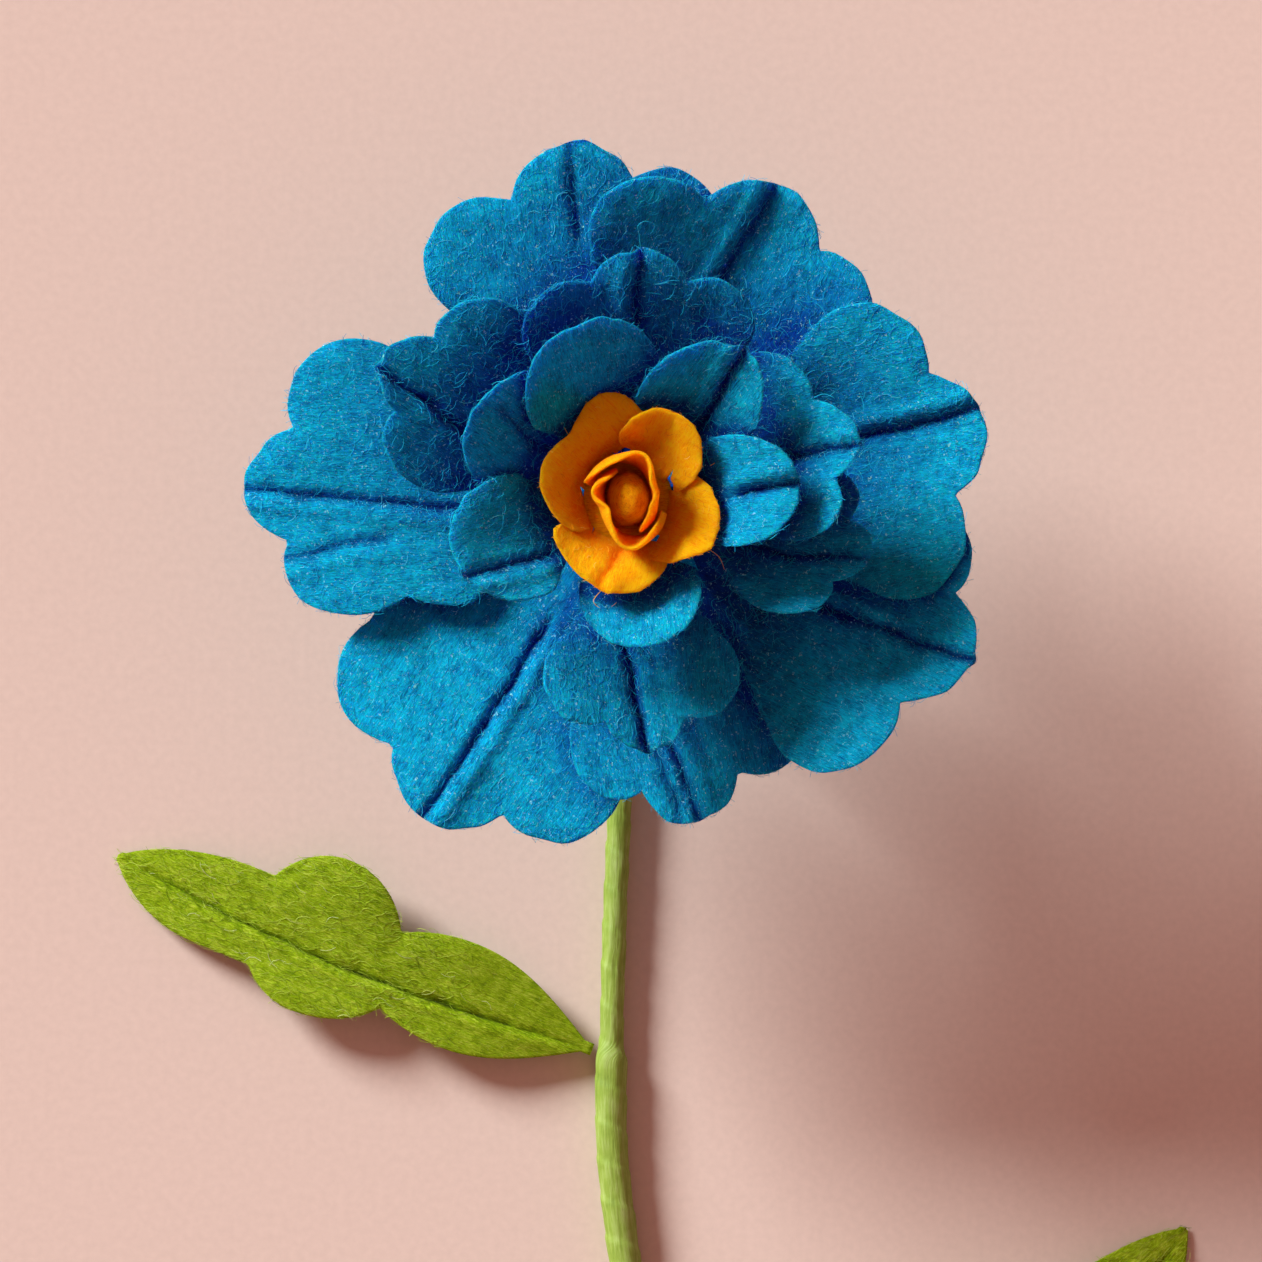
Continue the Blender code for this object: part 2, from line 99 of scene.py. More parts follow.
# Craft felt: matted wool, soft and matt, with fibres lying every way and pale flecks where they stand up; its colour
# also carries painted shade in the pinched creases and where petals crowd together
def feltMaterial(name, look):
    made, tree, shader = newMaterial(name)
    flat = addNode(tree, "ShaderNodeUVMap", {"uv_map": "cut"}).outputs["UV"]  # the cut pattern, in centimetres
    shift = addNode(tree, "ShaderNodeObjectInfo").outputs["Random"]
    moved = addNode(tree, "ShaderNodeVectorMath", {"operation": "ADD"}, {0: flat})
    offset = addNode(tree, "ShaderNodeCombineXYZ", inputs={"Z": shift})
    tree.links.new(offset.outputs[0], moved.inputs[1])
    place = moved.outputs[0]
    strands = None
    for turn, seed in ((0.35, 0.0), (1.3, 3.1), (2.3, 7.7)):  # fibres 0.1 mm thick and a few mm long
        along = addNode(tree, "ShaderNodeMapping", inputs={
            "Vector": place, "Location": (seed, seed, 0), "Rotation": (0, 0, turn), "Scale": (7.0, 75.0, 1.0)})
        wool = addNode(tree, "ShaderNodeTexNoise", inputs={
            "Vector": along.outputs[0], "Scale": 1.0, "Detail": 3.0, "Roughness": 0.6, "Distortion": 1.2})
        if strands is None:
            strands = wool.outputs["Fac"]
        else:
            both = addNode(tree, "ShaderNodeMath", {"operation": "MAXIMUM"}, {0: strands, 1: wool.outputs["Fac"]})
            strands = both.outputs[0]
    cloud = addNode(tree, "ShaderNodeTexNoise", inputs={
        "Vector": place, "Scale": look["cloudScale"], "Detail": 4.0, "Roughness": 0.6})
    strandShade = addNode(tree, "ShaderNodeMapRange", inputs={
        "Value": strands, "From Min": 0.45, "From Max": 0.78, "To Min": 0.0, "To Max": 1.0}).outputs[0]
    # painted shade along the pinched creases: the felt colour is darkened there
    creaseDepthAndShade = addNode(tree, "ShaderNodeAttribute", {"attribute_name": "creaseDepthAndShade"}).outputs["Fac"]
    mixed = addNode(tree, "ShaderNodeMath", {"operation": "MULTIPLY_ADD"}, {
        0: cloud.outputs["Fac"], 1: 0.9, 2: -0.27})
    creaseShaded = addNode(tree, "ShaderNodeMath", {"operation": "MULTIPLY_ADD"}, {
        0: creaseDepthAndShade, 1: -0.6, 2: mixed.outputs[0]})  # painted shade darkens the felt colour along the pinched creases
    total = addNode(tree, "ShaderNodeMath", {"operation": "MULTIPLY_ADD", "use_clamp": True}, {
        0: strandShade, 1: 0.95, 2: creaseShaded.outputs[0]})
    colour = colourRamp(tree, total.outputs[0], [
        (0.1, linearColour(look["deep"])), (0.9, linearColour(look["pale"])), (0.5, linearColour(look["body"]))])
    # painted shade: the felt colour is darkened where petals crowd together; "deep" is how little of the sky a spot
    # sees
    deep = addNode(tree, "ShaderNodeAttribute", {"attribute_name": "deep"}).outputs["Fac"]
    paintedShadeAmount = addNode(tree, "ShaderNodeMapRange", inputs={
        "Value": deep, "From Min": look["paintedShadeFrom"], "From Max": look["paintedShadeTo"], "To Min": 0.0,
        "To Max": look["paintedShadeShare"]}).outputs[0]
    paintedShade = addNode(tree, "ShaderNodeMix", {"data_type": "RGBA", "blend_type": "MULTIPLY"}, {"Factor": paintedShadeAmount})
    tree.links.new(colour, paintedShade.inputs[6])
    paintedShade.inputs[7].default_value = linearColour(look["paintedShade"])
    colour = paintedShade.outputs[2]
    fleck = addNode(tree, "ShaderNodeTexNoise", inputs={
        "Vector": place, "Scale": 26.0, "Detail": 2.0, "Roughness": 0.7, "Distortion": 0.8})
    fleckMask = addNode(tree, "ShaderNodeMapRange", inputs={
        "Value": fleck.outputs["Fac"], "From Min": look["fleckFrom"], "From Max": look["fleckFrom"] + 0.06,
        "To Min": 0.0, "To Max": look["fleckStrength"]}).outputs[0]
    flecked = addNode(tree, "ShaderNodeMix", {"data_type": "RGBA"}, {"Factor": fleckMask})
    tree.links.new(colour, flecked.inputs[6])
    flecked.inputs[7].default_value = linearColour(look["fleck"])
    tree.links.new(flecked.outputs[2], shader.inputs["Base Color"])
    rise = addNode(tree, "ShaderNodeMath", {"operation": "MULTIPLY_ADD"}, {
        0: cloud.outputs["Fac"], 1: 0.8, 2: strandShade})
    bump = addNode(tree, "ShaderNodeBump", inputs={
        "Height": rise.outputs[0], "Strength": 0.9, "Distance": 0.0004})
    tree.links.new(bump.outputs[0], shader.inputs["Normal"])
    shader.inputs["Roughness"].default_value = 0.95
    shader.inputs["Specular IOR Level"].default_value = 0.1
    shader.subsurface_method = "BURLEY"
    shader.inputs["Subsurface Weight"].default_value = look["through"]
    shader.inputs["Subsurface Radius"].default_value = look["throughDepth"]
    shader.inputs["Subsurface Scale"].default_value = mm
    shader.inputs["Sheen Weight"].default_value = look["sheen"]
    shader.inputs["Sheen Roughness"].default_value = 0.5
    shader.inputs["Sheen Tint"].default_value = linearColour(look["sheenTint"])
    return made


# each look's last colour and range is the painted shade, multiplied into the felt colour where the "deep" attribute
# says little sky is seen
feltLooks = {
    "blue": {"deep": "#005C96", "body": "#00B0DC", "pale": "#0CE2FF", "fleck": "#98E6F2", "fleckFrom": 0.63,
             "fleckStrength": 0.85, "cloudScale": 5.0, "sheen": 0.05, "sheenTint": "#00C8D8",
             "through": 0.6, "throughDepth": (0.05, 0.15, 1.8),
             "paintedShade": "#0064BC", "paintedShadeFrom": 0.1, "paintedShadeTo": 0.6, "paintedShadeShare": 1.0},
    "yellow": {"deep": "#F88A00", "body": "#FFB400", "pale": "#FFCA10", "fleck": "#FFE08A", "fleckFrom": 0.7,
               "fleckStrength": 0.2, "cloudScale": 6.0, "sheen": 0.0, "sheenTint": "#FFD060",
               "through": 0.85, "throughDepth": (3.2, 1.1, 0.05),
               "paintedShade": "#F8A800", "paintedShadeFrom": 0.45, "paintedShadeTo": 1.0, "paintedShadeShare": 1.0},
    "orange": {"deep": "#D87000", "body": "#FFA000", "pale": "#FFBC00", "fleck": "#FFD070", "fleckFrom": 0.7,
               "fleckStrength": 0.2, "cloudScale": 6.0, "sheen": 0.0, "sheenTint": "#FFD060",
               "through": 0.7, "throughDepth": (2.4, 0.5, 0.05),
               "paintedShade": "#E09000", "paintedShadeFrom": 0.5, "paintedShadeTo": 1.0, "paintedShadeShare": 1.0},
    "green": {"deep": "#6A8A04", "body": "#A2C410", "pale": "#D0E448", "fleck": "#E0E69A", "fleckFrom": 0.68,
              "fleckStrength": 0.35, "cloudScale": 6.0, "sheen": 0.0, "sheenTint": "#C6DC7A",
              "through": 0.3, "throughDepth": (0.5, 0.8, 0.1),
              "paintedShade": "#808040", "paintedShadeFrom": 0.3, "paintedShadeTo": 0.9, "paintedShadeShare": 1.0},
}
felts = {name: feltMaterial("wool felt, " + name, look) for name, look in feltLooks.items()}


# Loose wool fibres: single hairs lying on the felt, dark ones, body-coloured ones and a few nearly white
def fibreMaterial(name, tones):
    made, tree, shader = newMaterial(name)
    tone = addNode(tree, "ShaderNodeAttribute", {"attribute_name": "tone"}).outputs["Fac"]
    colour = colourRamp(tree, tone, [(0.0, linearColour(tones[0])), (1.0, linearColour(tones[3])),
                                     (0.3, linearColour(tones[1])), (0.96, linearColour(tones[2]))])
    tree.links.new(colour, shader.inputs["Base Color"])
    shader.inputs["Roughness"].default_value = 0.7
    shader.inputs["Specular IOR Level"].default_value = 0.25
    return made


fibreTones = {
    "blue": ("#0068A0", "#00A4D4", "#08CCEE", "#60DCF0"),
    "yellow": ("#D88000", "#FFAE00", "#FFC41C", "#FFDC70"),
    "green": ("#5E7A04", "#9CBC10", "#C8DC50", "#E4EAA8"),
}
fibres = {name: fibreMaterial("wool fibre, " + name, tones) for name, tones in fibreTones.items()}


def fuzzTree():
    # hairs scattered over a felt sheet, as many as its "fuzz" attribute says
    tree = bpy.data.node_groups.new("wool fuzz", "GeometryNodeTree")
    tree.interface.new_socket("Geometry", in_out="OUTPUT", socket_type="NodeSocketGeometry")
    wanted = {}
    for name, kind in (("Geometry", "Geometry"), ("Density", "Float"), ("Length", "Float"), ("Thickness", "Float"),
                       ("Lie", "Vector"), ("Spread", "Float"), ("Seed", "Int"), ("Material", "Material")):
        made = tree.interface.new_socket(name, in_out="INPUT", socket_type="NodeSocket" + kind)
        wanted[name] = made.identifier
    given = addNode(tree, "NodeGroupInput").outputs
    fuzz = addNode(tree, "GeometryNodeInputNamedAttribute", {"data_type": "FLOAT"}, {"Name": "fuzz"})
    dense = addNode(tree, "ShaderNodeMath", {"operation": "MULTIPLY"}, {0: fuzz.outputs[0], 1: given["Density"]})
    strewn = addNode(tree, "GeometryNodeDistributePointsOnFaces", inputs={
        "Mesh": given["Geometry"], "Density": dense.outputs[0], "Seed": given["Seed"]})
    kinds = addNode(tree, "GeometryNodeJoinGeometry")
    for first, middle, last in (((-0.5, 0, 0.0), (0, 0.25, 0.05), (0.5, 0, 0.02)),
                                ((-0.5, 0.05, 0.01), (0.1, -0.4, 0.05), (0.45, 0.1, 0.0)),
                                ((-0.4, 0, -0.02), (0.15, 0.15, 0.3), (0.5, -0.1, 0.16))):
        hair = addNode(tree, "GeometryNodeCurveQuadraticBezier", inputs={
            "Resolution": 2, "Start": first, "Middle": middle, "End": last})
        round3 = addNode(tree, "GeometryNodeCurvePrimitiveCircle", inputs={
            "Resolution": 3, "Radius": given["Thickness"]})
        skin = addNode(tree, "GeometryNodeCurveToMesh", inputs={
            "Curve": hair.outputs[0], "Profile Curve": round3.outputs[0], "Fill Caps": True})
        single = addNode(tree, "GeometryNodeGeometryToInstance", inputs={"Geometry": skin.outputs[0]})
        tree.links.new(single.outputs[0], kinds.inputs[0])
    level = addNode(tree, "FunctionNodeAlignRotationToVector", {"axis": "Z"}, {"Vector": strewn.outputs["Normal"]})
    lying = addNode(tree, "FunctionNodeAlignRotationToVector", {"axis": "X", "pivot_axis": "Z"}, {
        "Rotation": level.outputs[0], "Vector": given["Lie"]})
    less = addNode(tree, "ShaderNodeMath", {"operation": "MULTIPLY"}, {0: given["Spread"], 1: -1.0})
    spin = addNode(tree, "FunctionNodeRandomValue", {"data_type": "FLOAT"})
    tree.links.new(less.outputs[0], spin.inputs[2])
    tree.links.new(given["Spread"], spin.inputs[3])
    turned = addNode(tree, "ShaderNodeCombineXYZ", inputs={"Z": spin.outputs[1]})
    about = addNode(tree, "FunctionNodeEulerToRotation", inputs={"Euler": turned.outputs[0]})
    facing = addNode(tree, "FunctionNodeRotateRotation", {"rotation_space": "LOCAL"}, {
        "Rotation": lying.outputs[0], "Rotate By": about.outputs[0]})
    vary = addNode(tree, "FunctionNodeRandomValue", {"data_type": "FLOAT"})
    vary.inputs[2].default_value, vary.inputs[3].default_value = 0.45, 1.35
    vary.inputs["Seed"].default_value = 4
    size = addNode(tree, "ShaderNodeMath", {"operation": "MULTIPLY"}, {0: vary.outputs[1], 1: given["Length"]})
    pick = addNode(tree, "FunctionNodeRandomValue", {"data_type": "INT"})
    pick.inputs[4].default_value, pick.inputs[5].default_value = 0, 2
    placed = addNode(tree, "GeometryNodeInstanceOnPoints", inputs={
        "Points": strewn.outputs["Points"], "Instance": kinds.outputs[0], "Pick Instance": True,
        "Instance Index": pick.outputs[2], "Rotation": facing.outputs[0], "Scale": size.outputs[0]})
    toned = addNode(tree, "FunctionNodeRandomValue", {"data_type": "FLOAT"}, {"Seed": 9})
    stored = addNode(tree, "GeometryNodeStoreNamedAttribute", {"data_type": "FLOAT", "domain": "INSTANCE"}, {
        "Geometry": placed.outputs[0], "Name": "tone", "Value": toned.outputs[1]})
    real = addNode(tree, "GeometryNodeRealizeInstances", inputs={"Geometry": stored.outputs[0]})
    dressed = addNode(tree, "GeometryNodeSetMaterial", inputs={
        "Geometry": real.outputs[0], "Material": given["Material"]})
    result = addNode(tree, "NodeGroupOutput")
    tree.links.new(dressed.outputs[0], result.inputs[0])
    return tree, wanted


fuzzGroup, fuzzInputs = fuzzTree()
hairs = {"perSquareMetre": 1.35e6, "length": 1.8 * mm, "thickness": 0.014}  # thickness as a part of the length
fuzzCount = 0


def woolFuzz(name, felt, colour, density=1.0, length=1.0, lie=(1, 0, 0), spread=math.pi):
    global fuzzCount
    fuzzCount += 1
    source = bpy.data.objects.new("source", felt.data.copy())
    bpy.context.scene.collection.objects.link(source)
    modifier = source.modifiers.new("fuzz", "NODES")
    modifier.node_group = fuzzGroup
    for key, value in (("Density", hairs["perSquareMetre"] * density), ("Length", hairs["length"] * length),
                       ("Thickness", hairs["thickness"] / length), ("Lie", lie), ("Spread", spread),
                       ("Seed", fuzzCount), ("Material", fibres[colour])):
        modifier[fuzzInputs[key]] = value
    ready = source.evaluated_get(bpy.context.evaluated_depsgraph_get())
    mesh = bpy.data.meshes.new_from_object(ready)
    bpy.data.objects.remove(source, do_unlink=True)
    mesh.name = name
    mesh.shade_smooth()
    made = bpy.data.objects.new(name, mesh)
    bpy.context.scene.collection.objects.link(made)
    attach(made, "root")
    pieces[name] = made
    return made


# ---- felt sheets

feltThick = 0.9
edgeRound = 0.3  # how far in from the cut edge it is rounded
edgeThin = (0.55, 2.5)  # the cut edge is thinner, this part of the full thickness, over this many mm

lobedCut = {"discs": ((0.81, 0.0, 0.19), (0.70, 0.26, 0.185), (0.70, -0.26, 0.185)), "middle": 0.6, "turn": 96.0}
roundCut = {"discs": ((0.66, 0.0, 0.34),), "middle": 0.62, "turn": 100.0}
heartCut = {"discs": ((0.70, 0.24, 0.29), (0.70, -0.24, 0.29), (0.52, 0.0, 0.38)), "middle": 0.62, "turn": 115.0}
cupCut = {"discs": ((0.62, 0.0, 0.38),), "middle": 0.6, "turn": 120.0}
# pointed cuts: corners as parts of the length, along and across
doubleCut = {"middle": 0.6, "turn": 140.0, "corners": (
    (0.33, -0.22), (0.40, -0.45), (0.51, -0.66), (0.67, -0.70), (0.82, -0.65), (0.93, -0.53), (0.95, -0.36),
    (0.90, -0.18), (0.86, -0.07), (0.90, 0.14), (0.87, 0.32), (0.78, 0.46), (0.63, 0.58), (0.46, 0.66),
    (0.30, 0.62), (0.22, 0.48))}
pointedCut = {"middle": 0.6, "turn": 140.0, "corners": (
    (0.28, -0.40), (0.50, -0.47), (0.70, -0.45), (0.92, -0.30), (1.05, -0.09), (1.02, 0.10), (0.97, 0.26),
    (0.80, 0.40), (0.55, 0.42), (0.36, 0.34))}
broadCut = {"middle": 0.6, "turn": 140.0, "corners": (
    (0.35, -0.30), (0.42, -0.56), (0.70, -0.50), (1.01, -0.19), (0.99, 0.05), (0.92, 0.25), (0.76, 0.42),
    (0.52, 0.52), (0.30, 0.46))}
cornerCut = {"middle": 0.55, "turn": 140.0, "corners": (
    (0.26, -0.30), (0.42, -0.46), (0.675, -0.62), (0.90, -0.20), (0.975, 0.09), (0.86, 0.36), (0.60, 0.56),
    (0.34, 0.42))}
skirtCut = {"at": 0.44, "radius": 0.20, "turn": 122.0}  # a broad lower shoulder that tucks under a neighbour
tabLength = 6.0


def cornerEdge(cut, v):
    turn = math.radians(cut["turn"]) * v
    ray = (math.cos(turn), math.sin(turn))
    corners = [(x - cut["middle"], y) for x, y in cut["corners"]]
    best = 0.1
    for (x0, y0), (x1, y1) in zip(corners, corners[1:] + corners[:1]):
        cross = ray[0] * (y1 - y0) - ray[1] * (x1 - x0)
        if abs(cross) < 1e-9:
            continue
        far = (x0 * (y1 - y0) - y0 * (x1 - x0)) / cross
        part = (x0 * ray[1] - y0 * ray[0]) / cross
        if far > 0 and -1e-6 <= part <= 1 + 1e-6:
            best = max(best, far)
    return cut["middle"] + best * ray[0], best * ray[1]


def cutEdge(cut, v, skirt):
    if "corners" in cut:
        return cornerEdge(cut, v)
    turn = math.radians(skirtCut["turn"] if skirt else cut["turn"]) * v
    ray = (math.cos(turn), math.sin(turn))
    discs = list(cut["discs"])
    if skirt:
        discs.append((skirtCut["at"], math.copysign(skirt, v), skirtCut["radius"]))
    best = 0.0
    for along, across, radius in discs:
        x = along - cut["middle"]
        dot = x * ray[0] + across * ray[1]
        inside = dot * dot + radius * radius - x * x - across * across
        if inside >= 0:
            best = max(best, dot + math.sqrt(inside))
    return cut["middle"] + best * ray[0], best * ray[1]


def midrib(petal):
    steep, middle, tip = (math.radians(a) for a in petal["rise"])
    steps = np.linspace(0, 1, 41)
    near = middle + (steep - middle) * (1 - steps) ** 1.5
    far = middle + (tip - middle) * steps ** 2.0
    start = coreRadius + 0.4 + feltThick / 2 + petal.get("out", 0.0)
    farLength = (petal["reach"] - start - np.mean(np.cos(near)) * tabLength) / np.mean(np.cos(far))
    length = tabLength + farLength
    s = np.concatenate([steps * tabLength, tabLength + steps[1:] * farLength])
    rise = np.concatenate([near, far[1:]])
    step = np.diff(s)
    mean = (rise[1:] + rise[:-1]) / 2
    out = start + np.concatenate([[0], np.cumsum(np.cos(mean) * step)])
    up = np.concatenate([[0], np.cumsum(np.sin(mean) * step)])
    return length, s, out, up, rise


def edgeGap(flat):
    # distance from each point of the cut pattern to its cut edge
    rim = np.concatenate([flat[0], flat[1:, -1], flat[-1, -2::-1], flat[-2:0:-1, 0]])
    after = np.roll(rim, -1, axis=0)
    way = after - rim
    long = np.maximum((way ** 2).sum(axis=1), 1e-12)
    gaps = np.zeros(flat.shape[:2])
    for i in range(flat.shape[0]):
        away = flat[i][:, None, :] - rim[None]
        t = np.clip((away * way).sum(axis=2) / long, 0, 1)
        gaps[i] = np.sqrt(((away - t[..., None] * way) ** 2).sum(axis=2)).min(axis=1)
    return gaps


def smooth(low, high, value):
    t = np.clip((value - low) / (high - low), 0, 1)
    return t * t * (3 - 2 * t)


def pinchLines(a, b, lines, seed):
    # relief of the pinched folds, and the painted shade in their grooves, at a point of the cut pattern
    rise, dark = 0.0, 0.0
    for a0, b0, a1, b1, depth in lines:
        da, db = a1 - a0, b1 - b0
        long = math.hypot(da, db)
        t = ((a - a0) * da + (b - b0) * db) / long ** 2
        beyond = max(-t, t - 1, 0) * long
        off = ((b - b0) * da - (a - a0) * db) / long
        off += 0.55 * noise.noise(Vector((a / 4.5, b0, seed))) + 0.2 * noise.noise(Vector((a / 1.4, b0, seed + 2)))
        fade = math.exp(-(beyond / 2.5) ** 2)
        groove = math.exp(-(off / 0.85) ** 2) * fade
        flank = math.exp(-((off - 1.9) / 1.2) ** 2) * fade
        rise += depth * (0.5 * flank - groove)
        dark = max(dark, groove * min(1.0, abs(depth)))
    return rise, dark


def petalSurface(petal, cut, rows, columns):
    # middle surface and cut coordinates, all in millimetres, and how strongly the pinched creases are painted darker
    length, s, out, up, slope = midrib(petal)
    fold = [math.radians(a) for a in petal.get("fold", (0, 0))]
    wide = petal.get("wide", (1, 1))
    bend = math.radians(petal.get("bend", 0))
    az = math.radians(petal["az"])
    halfTab = 3.3 if petal.get("cut") else 1.15
    tees = 2 * np.arange(columns + 1) / columns - 1
    vees = np.sign(tees) * np.abs(tees) ** 1.3
    vees = np.concatenate([[-1, -0.996, -0.988], vees[1:-1], [0.988, 0.996, 1]])
    grid = np.zeros((rows + 3, len(vees), 3))
    flat = np.zeros((rows + 3, len(vees), 2))
    creaseDepthAndShade = np.zeros((rows + 3, len(vees)))
    waves = petal.get("waves", 0.3)
    seed = petal["az"] * 0.37
    for j, v in enumerate(vees):
        side = 0 if v >= 0 else 1
        edgeA, edgeB = cutEdge(cut, v, petal.get("skirt", (0, 0))[side])
        handCut = 1 + 0.012 * noise.noise(Vector((v * 9, seed, 1)))
        edgeA, edgeB = edgeA * handCut, edgeB * handCut
        edgeA, edgeB = edgeA * length, edgeB * length * wide[side]
        reach = math.hypot(edgeA - tabLength, edgeB)
        main = np.linspace(0, 1 - 0.8 / reach, rows - 3)
        parts = np.concatenate([main, 1 - np.array([0.5, 0.25, 0.08, 0.0]) / reach])
        for i in range(rows + 3):
            if i < 2:
                a, b = tabLength * i / 2, halfTab * v
            else:
                part = parts[i - 2]
                a = tabLength + (edgeA - tabLength) * part
                b = halfTab * v + (edgeB - halfTab * v) * part
            r, z, angle = np.interp(a, s, out), np.interp(a, s, up), np.interp(a, s, slope)
            openOut = min(max((a - tabLength) / (0.35 * length), 0), 1)
            w = abs(b)
            lean = fold[side] * openOut + math.sin(angle) / r * w / 2
            y = w * math.cos(lean) * (1 if b > 0 else -1)
            h = w * math.sin(lean)
            # the pinched creases also carry painted shade into the felt colour
            rise, creaseDepthAndShade[i, j] = pinchLines(a, b, petal.get("folds", ()), seed)
            h += rise
            calm = float(smooth(0.45, 0.95, a / length)) * waves
            h += calm * 2.4 * noise.noise(Vector((a / 11, b / 11, seed)))
            h += calm * 0.7 * noise.noise(Vector((a / 4.5, b / 4.5, seed + 9)))
            h += 0.12 * openOut * noise.noise(Vector((a / 3.2, b / 3.2, seed + 5)))
            direction = az + bend * (a / length) ** 2
            e = (math.cos(direction), math.sin(direction))
            x = r - h * math.sin(angle)
            grid[i, j] = (headX + x * e[0] - y * e[1], headY + x * e[1] + y * e[0],
                          headZ + petal["z"] + z + h * math.cos(angle))
            flat[i, j] = (a, b)
    return grid, flat, creaseDepthAndShade


skins = []


def skyRays(count):
    # directions over a half sphere, more of them straight up, evenly turned
    rays = []
    for k in range(count):
        out = math.sqrt((k + 0.5) / count)
        turn = k * 2.399963
        rays.append(Vector((out * math.cos(turn), out * math.sin(turn), math.sqrt(1 - out * out))))
    return rays


# painted shade: how little of the sky each felt point sees is stored as "deep", and the felt material darkens its
# colour by it
def bakePaintedShade(reach=26.0):
    points, faces = [], []
    for mesh, grid, normal in skins:
        first = len(points)
        points += [v.co.copy() for v in mesh.vertices]
        faces += [tuple(first + k for k in face.vertices) for face in mesh.polygons]
    tree = BVHTree.FromPolygons(points, faces)
    rays = skyRays(18)
    for mesh, grid, normal in skins:
        rows, columns = grid.shape[:2]
        pickRows = np.unique(np.linspace(0, rows - 1, 15).astype(int))
        pickColumns = np.unique(np.linspace(0, columns - 1, 23).astype(int))
        both = []
        for side in (1, -1):
            coarse = np.zeros((len(pickRows), len(pickColumns)))
            for p, i in enumerate(pickRows):
                for q, j in enumerate(pickColumns):
                    up = Vector(normal[i, j] * side)
                    start = (Vector(grid[i, j]) + up * 0.8) * mm
                    turn = up.to_track_quat("Z", "Y")
                    hits = sum(tree.ray_cast(start, turn @ ray, reach * mm)[0] is not None for ray in rays)
                    coarse[p, q] = hits / len(rays)
            wide = np.array([np.interp(np.arange(columns), pickColumns, line) for line in coarse])
            both.append(np.array([np.interp(np.arange(rows), pickRows, line) for line in wide.T]).T.ravel())
        deep = mesh.attributes.new("deep", "FLOAT", "POINT")
        deep.data.foreach_set("value", np.concatenate(both).astype(np.float32))


def makeSheet(name, grid, flat, edge, thick, material, node, creaseDepthAndShade=None):
    # a closed felt sheet with a soft cut edge; uv holds the cut coordinates in centimetres
    rows, columns = grid.shape[:2]
    along, across = np.gradient(grid, axis=0), np.gradient(grid, axis=1)
    normal = np.cross(along, across)
    normal /= np.maximum(np.linalg.norm(normal, axis=2, keepdims=True), 1e-9)
    inward = np.clip(edge / edgeRound, 0, 1)
    thinned = edgeThin[0] + (1 - edgeThin[0]) * smooth(0, edgeThin[1], edge)
    half = thick / 2 * (thinned * np.sqrt(np.maximum(1 - (1 - inward) ** 2, 0.06)))[..., None]
    points = np.concatenate([(grid + normal * half).reshape(-1, 3), (grid - normal * half).reshape(-1, 3)]) * mm
    count = rows * columns
    i, j = np.meshgrid(np.arange(rows - 1), np.arange(columns - 1), indexing="ij")
    a = (i * columns + j).ravel()
    top = np.stack([a, a + 1, a + columns + 1, a + columns], axis=1)
    under = top[:, ::-1] + count
    rim = list(range(columns)) + [k * columns + columns - 1 for k in range(1, rows)]
    rim += [(rows - 1) * columns + k for k in range(columns - 2, -1, -1)]
    rim += [k * columns for k in range(rows - 2, 0, -1)]
    rim = np.array(rim)
    after = np.roll(rim, -1)
    side = np.stack([after, rim, rim + count, after + count], axis=1)
    faces = np.concatenate([top, under, side])
    mesh = bpy.data.meshes.new(name)
    mesh.from_pydata(points.tolist(), [], faces.tolist())
    uv = mesh.uv_layers.new(name="cut")
    spots = np.concatenate([flat.reshape(-1, 2), flat.reshape(-1, 2) + (70, 30)]) / 10
    loops = np.zeros(len(mesh.loops), dtype=np.int32)
    mesh.loops.foreach_get("vertex_index", loops)
    uv.data.foreach_set("uv", spots[loops].astype(np.float32).ravel())
    # the crease weight darkens the felt colour as painted shade
    folds = np.zeros(count) if creaseDepthAndShade is None else creaseDepthAndShade.ravel()
    mesh.attributes.new("creaseDepthAndShade", "FLOAT", "POINT").data.foreach_set("value", np.tile(folds, 2).astype(np.float32))
    rimmed = 1.0 + 1.3 * np.exp(-edge.ravel() / 0.4)
    seen = smooth(0.2, 0.4, flat[..., 0].ravel() / flat[..., 0].max())
    fuzz = np.concatenate([rimmed * seen, 0.15 * rimmed * seen])
    mesh.attributes.new("fuzz", "FLOAT", "POINT").data.foreach_set("value", fuzz.astype(np.float32))
    mesh.materials.append(material)
    made = bpy.data.objects.new(name, mesh)
    bpy.context.scene.collection.objects.link(made)
    form = bmesh.new()
    form.from_mesh(mesh)
    bmesh.ops.recalc_face_normals(form, faces=form.faces)
    form.to_mesh(mesh)
    form.free()
    mesh.shade_smooth()
    skins.append((mesh, grid, normal))
    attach(made, "root")
    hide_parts(node)
    pieces[name] = made
    return made


